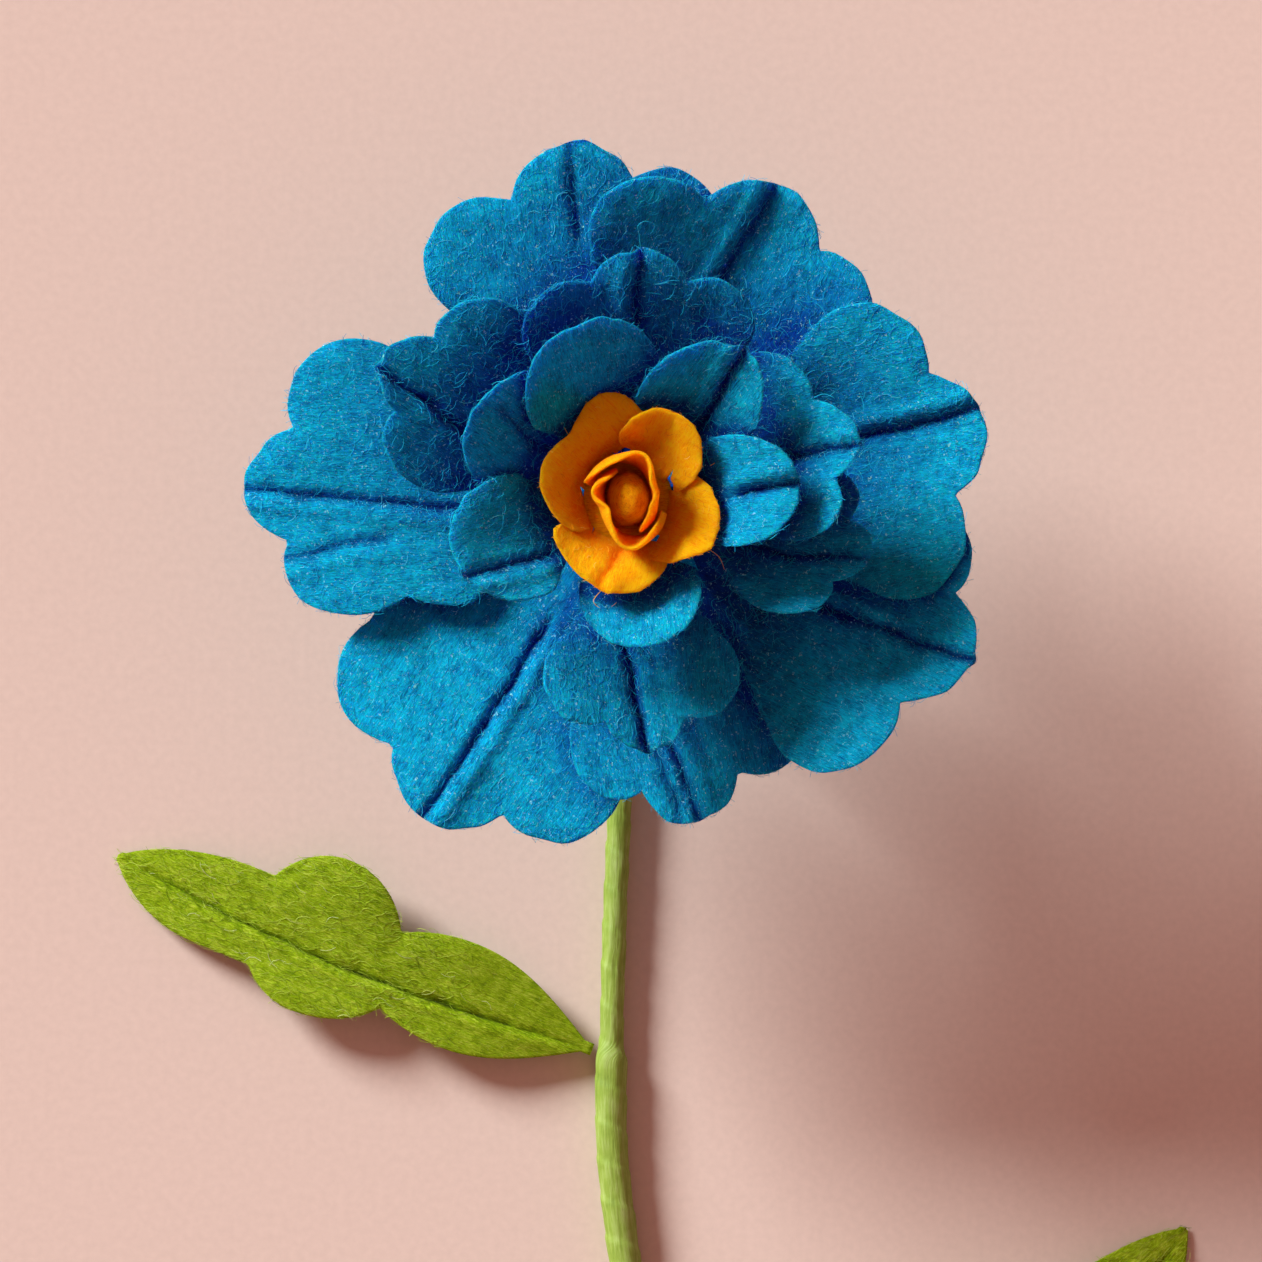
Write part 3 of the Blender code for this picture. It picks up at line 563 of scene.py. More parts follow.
# az is the heading in degrees, reach how far the tip is from the middle, z the height of its base, rise the
# slope at base, middle and tip, fold how far the left and right halves lift, folds the pinched lines
# (distance along and across at their start and end, and depth, in millimetres)
whorls = {
    "outer_petal": {"cut": lobedCut, "felt": "blue", "rows": 44, "columns": 88, "petals": (
        {"az": 178.5, "reach": 53.6, "z": 1.6, "rise": (75, 6, -6), "fold": (5, 3), "wide": (0.76, 0.95),
         "skirt": (0.20, 0), "folds": ((20.8, 2.0, 48.6, 0.2, 0.9), (31.9, 6.5, 43.5, 9.3, 0.7))},
        {"az": 99.3, "reach": 50.4, "z": 0.2, "rise": (75, 6, 10), "fold": (-2, -3), "wide": (1.07, 0.9),
         "folds": ((36.0, 0.8, 48.0, 0.2, 0.5),)},
        {"az": 63.0, "reach": 48.8, "z": 1.8, "rise": (75, 6, 8), "fold": (22, -2), "wide": (1.2, 0.95),
         "folds": ((28.9, 2.9, 45.2, 2.0, 1.0),)},
        {"az": 12.2, "reach": 51.0, "z": 4.5, "rise": (75, 6, 12), "fold": (12, 5), "wide": (0.95, 1.02),
         "folds": ((31.0, 1.8, 48.7, 2.4, 1.1),)},
        {"az": -24.7, "reach": 52.9, "z": 3.0, "rise": (75, 5, 30), "fold": (-3, 5), "wide": (0.76, 1.05),
         "folds": ((28.9, -2.2, 51.0, -0.6, 1.2),)},
        {"az": -78.8, "reach": 46.1, "z": 1.6, "rise": (75, 5, 10), "fold": (-3, 5), "wide": (0.98, 0.76),
         "skirt": (0.30, 0), "folds": ((30.0, -1.0, 42.5, 1.0, 1.2), (32.0, -3.0, 41.5, -1.2, 0.7))},
        {"az": -122.6, "reach": 52.8, "z": 0.2, "rise": (75, 5, 4), "fold": (-3, -3), "wide": (0.98, 1.0),
         "skirt": (0, 0.30), "folds": ((20.0, 0.1, 49.3, -0.1, 1.1),)},
    )},
    "middle_petal": {"cut": lobedCut, "felt": "blue", "rows": 38, "columns": 76, "petals": (
        {"az": 150.5, "reach": 39.4, "z": 7.6, "rise": (75, 30, 22), "fold": (8, 0), "wide": (0.72, 0.85),
         "folds": ((21.9, 3.5, 40.4, 1.2, 1.3),)},
        {"az": 87.5, "reach": 34.6, "z": 6.6, "rise": (75, 32, 28), "fold": (8, -10), "wide": (1.0, 1.0),
         "folds": ((20.0, 0.8, 36.8, -0.2, 1.0),)},
        {"az": 18.0, "bend": -2.5, "reach": 33.2, "z": 9.6, "rise": (75, 38, 20), "fold": (8, 6),
         "wide": (0.95, 0.8), "folds": ((27.2, -1.1, 34.5, -1.4, 0.8),)},
        {"az": -20.0, "bend": 7.0, "reach": 35.0, "z": 8.6, "rise": (75, 22, 16), "fold": (-2, 18),
         "wide": (0.8, 0.66), "folds": ((16.0, -1.0, 32.0, -0.4, 0.7),)},
        {"az": -85.0, "reach": 35.3, "z": 7.6, "rise": (75, 18, 12), "fold": (6, 18), "wide": (0.9, 1.0),
         "folds": ((17.6, -2.8, 33.4, -0.1, 1.4),)},
    )},
    "inner_petal": {"cut": roundCut, "felt": "blue", "rows": 34, "columns": 64, "petals": (
        {"az": 147.0, "reach": 24.6, "z": 12.0, "rise": (78, 50, 42), "fold": (-10, -2), "wide": (0.9, 0.9),
         "folds": ((16.0, 0.5, 27.0, -0.5, 0.6),)},
        {"az": 104.0, "reach": 25.4, "z": 13.8, "rise": (78, 50, 40), "fold": (4, -9), "wide": (1.0, 0.8)},
        {"az": 53.0, "reach": 26.3, "z": 15.3, "rise": (78, 44, 26), "fold": (24, -4), "wide": (0.95, 0.8),
         "folds": ((15.7, -1.7, 30.3, -0.4, 1.2),)},
        {"az": 5.0, "reach": 23.9, "z": 16.1, "rise": (78, 46, 5), "fold": (10, 4), "wide": (0.9, 0.9),
         "folds": ((18.3, -0.7, 25.9, 0.5, 1.2),)},
        {"az": -84.2, "reach": 20.8, "z": 12.0, "rise": (78, 50, 20), "fold": (0, 0), "wide": (1.1, 1.0)},
        {"az": -164.0, "reach": 25.6, "z": 15.3, "rise": (78, 45, 25), "fold": (4, 0), "wide": (1.0, 0.8),
         "folds": ((16.2, 4.6, 28.5, 4.2, 1.0),)},
    )},
    "yellow_petal": {"cut": roundCut, "felt": "yellow", "rows": 30, "columns": 52, "petals": (
        {"az": 137.0, "reach": 14.0, "z": 19.0, "rise": (80, 52, 15), "fold": (0, -7), "cut": doubleCut,
         "waves": 0.08},
        {"az": 59.0, "reach": 13.6, "z": 21.1, "out": 0.2, "rise": (80, 46, 36), "fold": (13, 0),
         "cut": pointedCut, "waves": 0.08},
        {"az": -20.0, "reach": 13.4, "z": 20.5, "out": 0.2, "rise": (80, 43, 18), "fold": (0, 9),
         "cut": broadCut, "waves": 0.08},
        {"az": -108.0, "reach": 13.8, "z": 19.0, "rise": (80, 52, 5), "fold": (-9, 0),
         "cut": cornerCut, "waves": 0.08, "folds": ((4.8, 1.9, 13.8, -0.1, 0.6),)},
    )},
}

print("petals")
for label, whorl in whorls.items():
    for number, petal in enumerate(whorl["petals"], 1):
        cut = petal.get("cut", whorl["cut"])
        grid, flat, creaseDepthAndShade = petalSurface(petal, cut, whorl["rows"], whorl["columns"])
        node = f"{label}_{number}"
        made = makeSheet("felt_" + node, grid, flat, edgeGap(flat), feltThick, felts[whorl["felt"]], node, creaseDepthAndShade)
        small = whorl["felt"] == "yellow"
        woolFuzz("fuzz_" + node, made, whorl["felt"], density=1.5 if small else 1.0, length=0.45 if small else 1.0)


# ---- bud: two wraps of yellow felt round an oval ball
# corners: heading in degrees, how far the rim is drawn out there in millimetres, and over how many degrees
budWraps = {"wrapHeight": 8.9, "lift": 0.7, "wraps": {"bud_petal_1": (-70, 160), "bud_petal_2": (110, 340)},
            "corners": ((-90, 2.0, 24), (168, 1.9, 24), (68, 2.4, 26), (14, 1.0, 20))}


def wrapSurface(first, last, rows=22, columns=90):
    grid = np.zeros((rows + 1, columns + 1, 3))
    flat = np.zeros((rows + 1, columns + 1, 2))
    for j in range(columns + 1):
        part = 0.5 - 0.5 * math.cos(math.pi * j / columns)
        az = math.radians(first + (last - first) * part)
        oval = 1 + 0.14 * math.cos(2 * (az - math.radians(110)))
        top = budWraps["wrapHeight"] * math.sin(math.pi * (0.12 + 0.76 * part)) ** 0.5
        for i in range(rows + 1):
            u = 0.5 - 0.5 * math.cos(math.pi * i / rows)
            r = (4.25 + 1.45 * math.sin(u * 1.5)) * oval + (part - 0.5) * 2.05
            for heading, drawn, over in budWraps["corners"]:
                off = (math.degrees(az) - heading + 180) % 360 - 180
                r += drawn * u ** 1.5 * (math.exp(-(off / over) ** 2) - 0.24)
            r += 0.18 * u * noise.noise(Vector((az * 2.2, u * 1.5, first)))
            rim = 0.25 * u * noise.noise(Vector((az * 3.5, 4.0, first)))
            grid[i, j] = (headX + r * math.cos(az), headY + r * math.sin(az),
                          coreTop + 0.3 + budWraps["lift"] + u * top + rim)
            flat[i, j] = (u * top, part * math.radians(last - first) * 5.2)
    return grid, flat


print("bud")
for node, (first, last) in budWraps["wraps"].items():
    grid, flat = wrapSurface(first, last)
    made = makeSheet("felt_" + node, grid, flat, edgeGap(flat), feltThick, felts["yellow"], node)


def placeMesh(name, points, faces, material, spots=None):
    mesh = bpy.data.meshes.new(name)
    mesh.from_pydata([tuple(p) for p in points], [], faces)
    if spots is not None:
        uv = mesh.uv_layers.new(name="cut")
        for loop in mesh.loops:
            uv.data[loop.index].uv = spots[loop.vertex_index]
    mesh.materials.append(material)
    made = bpy.data.objects.new(name, mesh)
    bpy.context.scene.collection.objects.link(made)
    form = bmesh.new()
    form.from_mesh(mesh)
    bmesh.ops.recalc_face_normals(form, faces=form.faces)
    form.to_mesh(mesh)
    form.free()
    mesh.shade_smooth()
    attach(made, "root")
    pieces[name] = made
    return made


def lathe(rings, sides):
    # rings of points joined into one closed skin, with a flat cap at each end
    faces = []
    for i in range(len(rings) - 1):
        for j in range(sides):
            after = (j + 1) % sides
            a = i * sides
            faces.append((a + j, a + after, a + sides + after, a + sides + j))
    faces.append(tuple(range(sides)))
    faces.append(tuple((len(rings) - 1) * sides + j for j in range(sides)))
    return [p for ring in rings for p in ring], faces


ballSize = {"wide": 5.9, "long": 7.4, "tall": 6.2}
rings = []
spots = []
for i in range(1, 40):
    down = math.pi * i / 40
    ring = []
    for j in range(64):
        turn = 2 * math.pi * j / 64
        way = Vector((math.sin(down) * math.cos(turn), math.sin(down) * math.sin(turn), math.cos(down)))
        swell = 1 + 0.05 * noise.noise(way * 2.3 + Vector((3, 1, 7))) + 0.02 * noise.noise(way * 7)
        ring.append((headX + ballSize["wide"] / 2 * way.x * swell, headY + ballSize["long"] / 2 * way.y * swell,
                     coreTop + 0.3 + ballSize["tall"] / 2 * (1 + way.z * min(swell, 1.0))))
        spots.append((turn * 0.3, down * 0.3))
    rings.append([tuple(c * mm for c in p) for p in ring])
points, faces = lathe(rings, 64)
made = placeMesh("felt_bud_ball", points, faces, felts["orange"], spots)
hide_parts("bud_ball")

# a bed of loose wool under the ball fills the bottom of the bud
woolBed = {"hole": 1.4, "radius": 6.2, "low": 0.32, "thick": 0.3, "high": 1.5}
rings = []
spots = []
for k in range(22):
    ring = []
    around = 2 * math.pi * k / 22
    for j in range(72):
        turn = 2 * math.pi * j / 72
        long = 1 + 0.18 * (1 + math.cos(2 * (turn - math.radians(110))))
        inner, outer = woolBed["hole"], woolBed["radius"]
        r = (inner + outer) / 2 + (outer - inner) / 2 * math.cos(around)
        z = woolBed["low"] + woolBed["thick"] / 2 * (1 + math.sin(around))
        if math.sin(around) > 0.3:
            r = min(r, 2.8 * long)
            z += (woolBed["high"] - 0.5) * math.exp(-((r - 2.5 * long) / 0.5) ** 2) * (0.8 + 0.4 * noise.noise(
                Vector((math.cos(turn) * 3, math.sin(turn) * 3, 1))))
        ring.append(((headX + r * math.cos(turn)) * mm, (headY + r * math.sin(turn)) * mm, (coreTop + z) * mm))
        spots.append((r * math.cos(turn) / 10, r * math.sin(turn) / 10))
    rings.append(ring)
faces = []
for i in range(22):
    a, b = i * 72, (i + 1) % 22 * 72
    for j in range(72):
        faces.append((a + j, a + (j + 1) % 72, b + (j + 1) % 72, b + j))
made = placeMesh("wool_bed", [p for ring in rings for p in ring], faces, felts["orange"], spots)

# ---- core: a strip of blue felt wound on the wire
print("core")
coreTurns = 4.5
coreBottomFace = []
profile = [(0.95, 0.15), (1.2, 0.02)] + [(1.2 + 1.7 * k / 14, 0.0) for k in range(1, 15)]
profile += [(coreRadius - 0.12, 0.06), (coreRadius, 0.3)]
profile += [(coreRadius, 0.3 + k) for k in range(1, int(coreTop - headZ - 0.6))]
profile += [(coreRadius, coreTop - headZ - 0.3), (coreRadius - 0.2, coreTop - headZ)]
profile += [(coreRadius - 0.2 - 0.3 * k, coreTop - headZ) for k in range(1, 8)]
rings = []
spots = []
for number, (r, z) in enumerate(profile):
    ring = []
    for j in range(56):
        turn = 2 * math.pi * j / 56
        wound = (r / coreRadius * coreTurns - j / 56) % 1
        groove = 0.22 * math.exp(-(min(wound, 1 - wound) / 0.14) ** 2) if number < 17 else 0.0
        side = 0.05 * noise.noise(Vector((turn * 2, z * 0.6, 2))) if r > coreRadius - 0.05 else 0.0
        ring.append(((headX + (r + side) * math.cos(turn)) * mm, (headY + (r + side) * math.sin(turn)) * mm,
                     (headZ + z + groove) * mm))
        spots.append((turn * 0.32, z * 0.1 + r * 0.1))
    rings.append(ring)
points, faces = lathe(rings, 56)
made = placeMesh("felt_core", points, faces, felts["blue"], spots)
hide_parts("flower_core")

# ---- backing: a ring of felt under the lowest petals
print("backing")
backingSize = {"radius": 15.0, "hole": coreRadius + 0.3, "top": headZ - 0.3}


def ringSheet(size, rows=14, columns=96):
    profile = []
    for k in range(rows + 1):
        part = k / rows
        r = size["hole"] + (size["radius"] - size["hole"]) * part
        profile.append((r, size["top"] - (0.18 if part in (0, 1) else 0.0)))
    profile += [(r, 2 * size["top"] - feltThick - z) for r, z in reversed(profile)]
    points, spots = [], []
    for r, z in profile:
        for j in range(columns):
            turn = 2 * math.pi * j / columns
            shake = 0.06 * noise.noise(Vector((r * math.cos(turn) / 2, r * math.sin(turn) / 2, 3)))
            points.append(((headX + r * math.cos(turn)) * mm, (headY + r * math.sin(turn)) * mm, (z + shake) * mm))
            spots.append((r * math.cos(turn) / 10, r * math.sin(turn) / 10))
    faces = []
    for i in range(len(profile)):
        a, b = i * columns, (i + 1) % len(profile) * columns
        for j in range(columns):
            after = (j + 1) % columns
            faces.append((a + j, a + after, b + after, b + j))
    return points, faces, spots


points, faces, spots = ringSheet(backingSize)
made = placeMesh("felt_backing", points, faces, felts["blue"], spots)
if "backing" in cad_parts:
    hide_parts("backing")

# ---- stem: crepe tape wound over steel wire
stemSizes = {"radius": 1.75, "radiusLow": 2.3, "end": -225.0, "straight": 3.0, "bend": 2.4, "bendAt": 86.0,
             "lean": 0.16, "joint": -77.5, "tapePitch": 5.5, "tapeStep": 0.2}
stemFloor = headZ - 40.0


def stemBow(y):
    near = -stemSizes["bend"] * math.sin(math.pi / 2 * min(max(-y / stemSizes["bendAt"], 0), 1)) ** 2
    past = max(0, -y - stemSizes["bendAt"])
    return near + stemSizes["lean"] * (math.hypot(past, 12) - 12)


def stemLine():
    lie = stemSizes["radiusLow"]
    turnRadius = 40.0 - stemSizes["straight"] - lie
    line = [(y, lie) for y in np.arange(stemSizes["end"], -turnRadius, 0.42)]
    for i in range(0, 121):
        angle = i / 120 * math.pi / 2
        line.append((turnRadius * (math.sin(angle) - 1), lie + turnRadius * (1 - math.cos(angle))))
    for k in range(1, 8):
        line.append((0.0, lie + turnRadius + (40.0 - 0.3 - lie - turnRadius) * k / 7))
    return np.array([(stemBow(y), y, z) for y, z in line])


def stemRadius(point):
    low = 1 / (1 + math.exp((point[1] - stemSizes["joint"]) / 0.5))
    flare = max(0.0, 1 - (40.0 - point[2]) / 7.0) if point[1] > -10 else 0.0
    radius = stemSizes["radius"] + (stemSizes["radiusLow"] - stemSizes["radius"]) * low
    return radius + (coreRadius - stemSizes["radius"]) * flare ** 2


print("stem")
line = stemLine()
run = np.concatenate([[0], np.cumsum(np.linalg.norm(np.diff(line, axis=0), axis=1))])
ways = np.gradient(line, axis=0)
sides = 48
rings = []
spots = []
for centre, way, s in zip(line, ways, run):
    way = way / np.linalg.norm(way)
    side = np.array((1.0, 0, 0)) - way * way[0]
    side /= np.linalg.norm(side)
    up = np.cross(way, side)
    radius = stemRadius(centre)
    ring = []
    for j in range(sides):
        turn = 2 * math.pi * j / sides
        phase = (s / stemSizes["tapePitch"] + j / sides) % 1
        step = stemSizes["tapeStep"] * (phase if phase < 0.9 else 0.9 * (1 - phase) / 0.1) - 0.1
        wrinkle = 0.09 * noise.noise(Vector((math.cos(turn) * 2.2, math.sin(turn) * 2.2, s * 0.22)))
        wrinkle += 0.05 * noise.noise(Vector((math.cos(turn) * 6, math.sin(turn) * 6, s * 0.5 + 9)))
        r = radius - 0.06 + step + wrinkle
        point = centre + r * (math.cos(turn) * side + math.sin(turn) * up)
        ring.append(((headX + point[0]) * mm, (headY + point[1]) * mm, max(0.0, point[2] + stemFloor) * mm))
        spots.append((s / 10, turn * radius / 10))
    rings.append(ring)
holeRings = []
for index in (len(line) - 1, 0):
    centre, way = line[index], ways[index] / np.linalg.norm(ways[index])
    side = np.array((1.0, 0, 0)) - way * way[0]
    side /= np.linalg.norm(side)
    up = np.cross(way, side)
    for inset in ((1.3, 0.0), (0.95, -0.15), (0.9, -1.0)):
        ring = []
        sign = 1 if index else -1
        for j in range(sides):
            turn = 2 * math.pi * j / sides
            point = centre + way * sign * inset[1] + inset[0] * (math.cos(turn) * side + math.sin(turn) * up)
            ring.append(((headX + point[0]) * mm, (headY + point[1]) * mm, (point[2] + stemFloor) * mm))
        holeRings.append(ring)
rings = holeRings[5:2:-1] + rings + holeRings[:3]
spots = [(0, 0)] * (3 * sides) + spots + [(0, 0)] * (3 * sides)
points, faces = lathe(rings, sides)


# Crepe-paper floral tape: waxy and matt, with fine creases across it
def tapeMaterial(look):
    made, tree, shader = newMaterial("crepe-paper floral tape")
    place = addNode(tree, "ShaderNodeUVMap", {"uv_map": "cut"}).outputs["UV"]
    crinkle = addNode(tree, "ShaderNodeMapping", inputs={"Vector": place, "Scale": (2.2, 22.0, 1.0)})
    creases = addNode(tree, "ShaderNodeTexNoise", inputs={
        "Vector": crinkle.outputs[0], "Scale": 1.0, "Detail": 4.0, "Roughness": 0.65, "Distortion": 0.4})
    cloud = addNode(tree, "ShaderNodeTexNoise", inputs={"Vector": place, "Scale": 3.0, "Detail": 3.0})
    total = addNode(tree, "ShaderNodeMath", {"operation": "MULTIPLY_ADD", "use_clamp": True}, {
        0: creases.outputs["Fac"], 1: 0.75, 2: -0.1})
    both = addNode(tree, "ShaderNodeMath", {"operation": "MULTIPLY_ADD", "use_clamp": True}, {
        0: cloud.outputs["Fac"], 1: 0.5, 2: total.outputs[0]})
    colour = colourRamp(tree, both.outputs[0], [
        (0.2, linearColour(look["deep"])), (0.85, linearColour(look["pale"])), (0.5, linearColour(look["body"]))])
    tree.links.new(colour, shader.inputs["Base Color"])
    bump = addNode(tree, "ShaderNodeBump", inputs={
        "Height": creases.outputs["Fac"], "Strength": 0.5, "Distance": 0.00025})
    tree.links.new(bump.outputs[0], shader.inputs["Normal"])
    shader.inputs["Roughness"].default_value = 0.6
    shader.inputs["Specular IOR Level"].default_value = 0.3
    return made


tapeLook = {"deep": "#607820", "body": "#88A03A", "pale": "#AEC070"}
tape = tapeMaterial(tapeLook)
made = placeMesh("tape_stem", points, faces, tape, spots)
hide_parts("stem_wrap")


# Drawn steel wire: dull grey-green, brushed along its length
def wireMaterial():
    made, tree, shader = newMaterial("drawn steel wire")
    place = addNode(tree, "ShaderNodeTexCoord").outputs["Object"]
    streak = addNode(tree, "ShaderNodeMapping", inputs={"Vector": place, "Scale": (6000.0, 120.0, 6000.0)})
    drawn = addNode(tree, "ShaderNodeTexNoise", inputs={"Vector": streak.outputs[0], "Scale": 1.0, "Detail": 2.0})
    colour = colourRamp(tree, drawn.outputs["Fac"], [(0.3, linearColour("#5D675B")), (0.7, linearColour("#87917F"))])
    tree.links.new(colour, shader.inputs["Base Color"])
    shader.inputs["Metallic"].default_value = 0.8
    shader.inputs["Roughness"].default_value = 0.45
    return made


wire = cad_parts["stem_wire"]
wireObject = wire if isinstance(wire, bpy.types.Object) else bpy.data.objects["stem_wire"]
wireObject.data.materials.clear()
wireObject.data.materials.append(wireMaterial())

# ---- leaves
leafThick = 1.1
leafPair = {
    "leaf_left": {"y": -77.5 + 0.2, "aside": -(2.3 + 0.3 + 0.1), "at": -77.5, "heading": 157.9, "length": 72.2, "bend": 0.0, "flip": 1},
    "leaf_right": {"y": -150.0, "aside": 2.3 + 0.3 + 0.5, "at": -150.0, "heading": 27.7, "length": 84.1, "bend": 0.23, "flip": -1},
}


def leafHalf(part, side):
    near, height, endAt, endHeight = (0.16, 0.165, 0.74, 0.082) if side > 0 else (0.19, 0.149, 0.80, 0.098)
    if part < 0.28:
        width = 0.107 * math.sin(math.pi / 2 * part / 0.28)
    else:
        width = 0.107 * math.sqrt(max(0, 1 - ((part - 0.28) / 0.2) ** 2))
    lobe = near if part < 0.575 else 0.145
    width = max(width, height * math.sqrt(max(0, 1 - ((part - 0.575) / lobe) ** 2)))
    if part > 0.5:
        width = max(width, endHeight * max(0, 1 - (max(0, part - endAt) / (1 - endAt)) ** 2) ** 0.8)
    return max(width, 0.012)


def leafSurface(leaf, rows=150, columns=44):
    length, flip = leaf["length"], leaf["flip"]
    base = (stemBow(leaf["at"]) + leaf["aside"], leaf["y"], 2.6)
    heading = math.radians(leaf["heading"])
    tees = 2 * np.arange(columns + 1) / columns - 1
    vees = np.sign(tees) * np.abs(tees) ** 1.25
    vees = np.concatenate([[-1, -0.994, -0.98], vees[1:-1], [0.98, 0.994, 1]])
    grid = np.zeros((rows + 1, len(vees), 3))
    flat = np.zeros((rows + 1, len(vees), 2))
    creaseDepthAndShade = np.zeros((rows + 1, len(vees)))
    for i in range(rows + 1):
        part = i / rows
        a = part * length
        turn = leaf["bend"] * (part - 0.5)
        bow = flip * 0.036 * length * math.sin(math.pi * part)
        z = -(base[2] - leafThick / 2) * (1 - (1 - part) ** 1.2) + 2.6 * math.sin(math.pi * part)
        for j, v in enumerate(vees):
            half = max(leafHalf(part, 1 if v * flip < 0 else -1) * length, 0.35) if part < 1 else 0.35
            b = bow * (1 - abs(v)) + half * v
            lift = abs(v) * half * math.sin(math.radians(9)) * min(1, 4 * part * (1 - part))
            off = half * v + 0.5 * noise.noise(Vector((a / 4, 0, flip)))
            # the midrib crease is both sunk into the leaf and painted darker as shade
            creaseDepthAndShade[i, j] = math.exp(-(off / 0.6) ** 2) * min(1, 6 * part * (1 - part))
            lift -= 0.75 * creaseDepthAndShade[i, j] - 0.3 * math.exp(-((off - 1.6) / 1.0) ** 2) * min(1, 6 * part * (1 - part))
            lift += 0.25 * noise.noise(Vector((a / 9, b / 6, flip))) * min(1, 6 * part * (1 - part))
            x = a * math.cos(turn) - b * math.sin(turn)
            y = a * math.sin(turn) + b * math.cos(turn)
            grid[i, j] = (headX + base[0] + x * math.cos(heading) - y * math.sin(heading),
                          headY + base[1] + x * math.sin(heading) + y * math.cos(heading),
                          stemFloor + max(base[2] + z + lift, leafThick / 2 + 0.02))
            flat[i, j] = (a, b)
    return grid, flat, creaseDepthAndShade


print("leaves")
for node, leaf in leafPair.items():
    grid, flat, creaseDepthAndShade = leafSurface(leaf)
    made = makeSheet("felt_" + node, grid, flat, edgeGap(flat), leafThick, felts["green"], node, creaseDepthAndShade)
    lie = (math.cos(math.radians(leaf["heading"])), math.sin(math.radians(leaf["heading"])), 0)
    woolFuzz("fuzz_" + node, made, "green", density=1.2, length=1.1, lie=lie, spread=0.7)

print("depth between the petals")
bakePaintedShade()

# ---- stray hairs: a few long single fibres that stand off the flower
strays = {"thickness": 0.045, "hairs": (
    # colour, then points in millimetres from the middle of the flower's base
    ("blue", (1.8, 34.0, 21.0), (1.6, 36.5, 24.0), (1.4, 38.0, 26.5), (2.6, 38.6, 27.0), (4.4, 37.8, 26.0)),
    ("yellow", (-8.0, 8.5, 27.0), (-9.2, 10.6, 28.0), (-9.6, 12.6, 28.6), (-8.4, 13.6, 29.0)),
    ("yellow", (-8.6, 11.0, 27.5), (-10.4, 12.0, 28.5), (-12.2, 12.2, 29.0)),
    ("yellow", (-3.4, -12.4, 26.0), (-4.8, -14.2, 26.6), (-3.2, -15.4, 26.4), (-1.6, -14.4, 26.0)),
    ("yellow", (10.6, -6.6, 27.0), (12.6, -8.0, 27.6), (13.4, -9.8, 27.2)),
    ("yellow", (11.4, 4.6, 28.0), (12.8, 5.6, 28.6), (13.6, 7.4, 28.4)),
    ("blue", (24.4, 13.2, 22.0), (27.0, 14.6, 23.0), (28.8, 14.0, 23.4)),
    ("blue", (-33.6, 18.4, 16.0), (-35.4, 20.4, 17.0), (-36.2, 22.6, 17.4)),
)}


def addStrays():
    points, faces, looks = [], [], []
    for hair in strays["hairs"]:
        knots = [Vector(p) for p in hair[1:]]
        line = []
        for k in range(len(knots) - 1):
            before, after = knots[max(k - 1, 0)], knots[min(k + 2, len(knots) - 1)]
            for step in range(6):
                line.append(interpolate(before, knots[k], knots[k + 1], after, step / 6))
        line.append(knots[-1])
        first = len(points)
        for k, spot in enumerate(line):
            way = (line[min(k + 1, len(line) - 1)] - line[max(k - 1, 0)]).normalized()
            turn = way.to_track_quat("Z", "Y")
            thick = strays["thickness"] * (1 - 0.6 * k / len(line))
            for corner in range(4):
                off = turn @ Vector((math.cos(corner * math.pi / 2), math.sin(corner * math.pi / 2), 0)) * thick
                points.append((spot + off + Vector((headX, headY, headZ))) * mm)
        for k in range(len(line) - 1):
            a = first + 4 * k
            faces += [(a + c, a + (c + 1) % 4, a + 4 + (c + 1) % 4, a + 4 + c) for c in range(4)]
        faces += [(first + 3, first + 2, first + 1, first), tuple(first + 4 * (len(line) - 1) + c for c in range(4))]
        looks += [("blue", "yellow").index(hair[0])] * (4 * (len(line) - 1) + 2)
    made = placeMesh("stray_hairs", points, faces, fibres["blue"])
    made.data.materials.append(fibres["yellow"])
    made.data.polygons.foreach_set("material_index", looks)
    made.data.attributes.new("tone", "FLOAT", "POINT").data.foreach_set("value", [0.95] * len(points))


def interpolate(before, first, last, after, t):
    # a smooth line through the points
    return 0.5 * (2 * first + (last - before) * t + (2 * before - 5 * first + 4 * last - after) * t ** 2
                  + (3 * first - before - 3 * last + after) * t ** 3)


addStrays()

# ---- floor, light and camera
table = {"colour": "#D9C1B3", "size": 8.0}


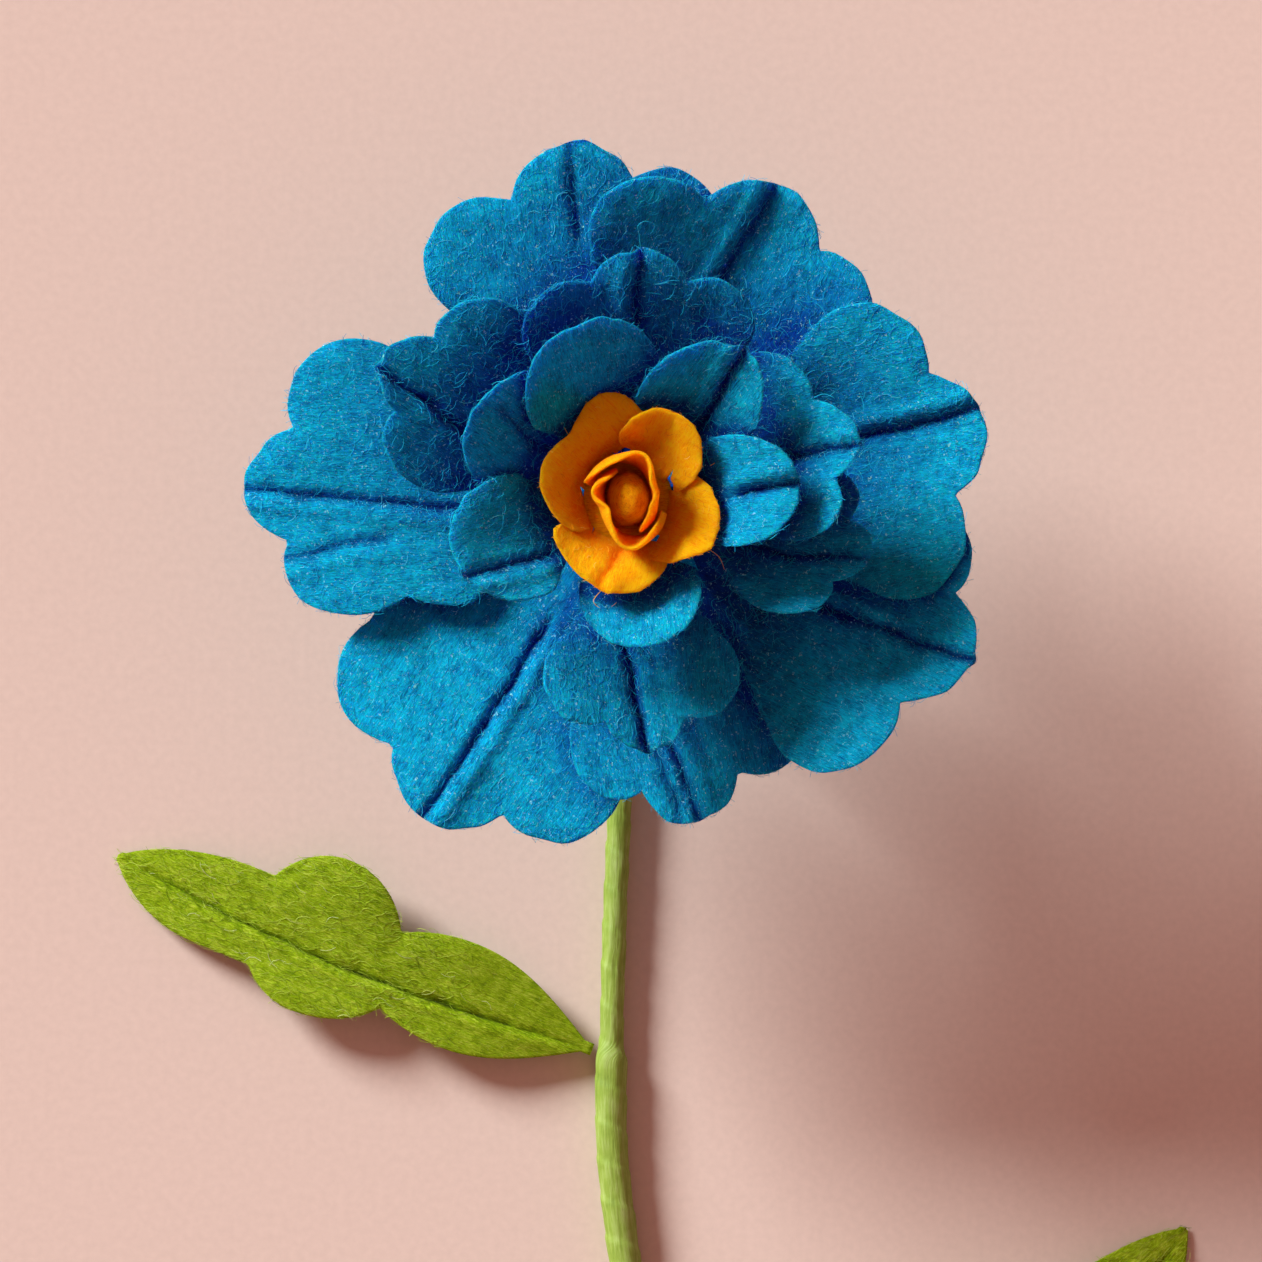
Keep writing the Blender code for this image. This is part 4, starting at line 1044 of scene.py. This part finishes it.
def paperMaterial():
    made, tree, shader = newMaterial("matt pink paper")
    place = addNode(tree, "ShaderNodeTexCoord").outputs["Object"]
    grain = addNode(tree, "ShaderNodeTexNoise", inputs={"Vector": place, "Scale": 900.0, "Detail": 3.0})
    base = linearColour(table["colour"])
    colour = colourRamp(tree, grain.outputs["Fac"], [
        (0.3, [c * 0.97 for c in base[:3]] + [1.0]), (0.7, [min(1.0, c * 1.03) for c in base[:3]] + [1.0])])
    tree.links.new(colour, shader.inputs["Base Color"])
    shader.inputs["Roughness"].default_value = 0.9
    shader.inputs["Specular IOR Level"].default_value = 0.1
    return made


bpy.ops.mesh.primitive_plane_add(size=table["size"], location=(0, 0, 0))
floor = bpy.context.object
floor.name = "table_top"
floor.data.materials.append(paperMaterial())

light = {"azimuth": 138.0, "elevation": 25.0, "strength": 6.0, "softness": 20.0}
lamp = bpy.data.lights.new("window", "SUN")
lamp.energy = light["strength"]
lamp.angle = math.radians(light["softness"])
lamp.color = (0.92, 1.0, 1.04)
lampObject = bpy.data.objects.new("window", lamp)
toward = Vector((math.cos(math.radians(light["elevation"])) * math.cos(math.radians(light["azimuth"])),
                 math.cos(math.radians(light["elevation"])) * math.sin(math.radians(light["azimuth"])),
                 math.sin(math.radians(light["elevation"]))))
lampObject.rotation_euler = toward.to_track_quat("Z", "Y").to_euler()
bpy.context.scene.collection.objects.link(lampObject)
world = bpy.data.worlds.new("room")
bpy.context.scene.world = world
world.use_nodes = True
world.node_tree.nodes["Background"].inputs["Color"].default_value = (1.0, 0.49, 0.43, 1.0)
world.node_tree.nodes["Background"].inputs["Strength"].default_value = 0.41

camera = bpy.data.cameras.new("overhead")
camera.type = "PERSP"
camera.sensor_width = 36.0
cameraDistance = 5.0
camera.lens = 36.0 * (cameraDistance - 0.03) / 0.1767
camera.clip_end = 50.0
cameraObject = bpy.data.objects.new("overhead", camera)
cameraObject.location = (-2.98 * mm, 69.42 * mm, cameraDistance)
bpy.context.scene.collection.objects.link(cameraObject)
bpy.context.scene.camera = cameraObject
bpy.context.scene.view_settings.view_transform = "Standard"

print("faces", {name: len(made.data.polygons) for name, made in pieces.items()})
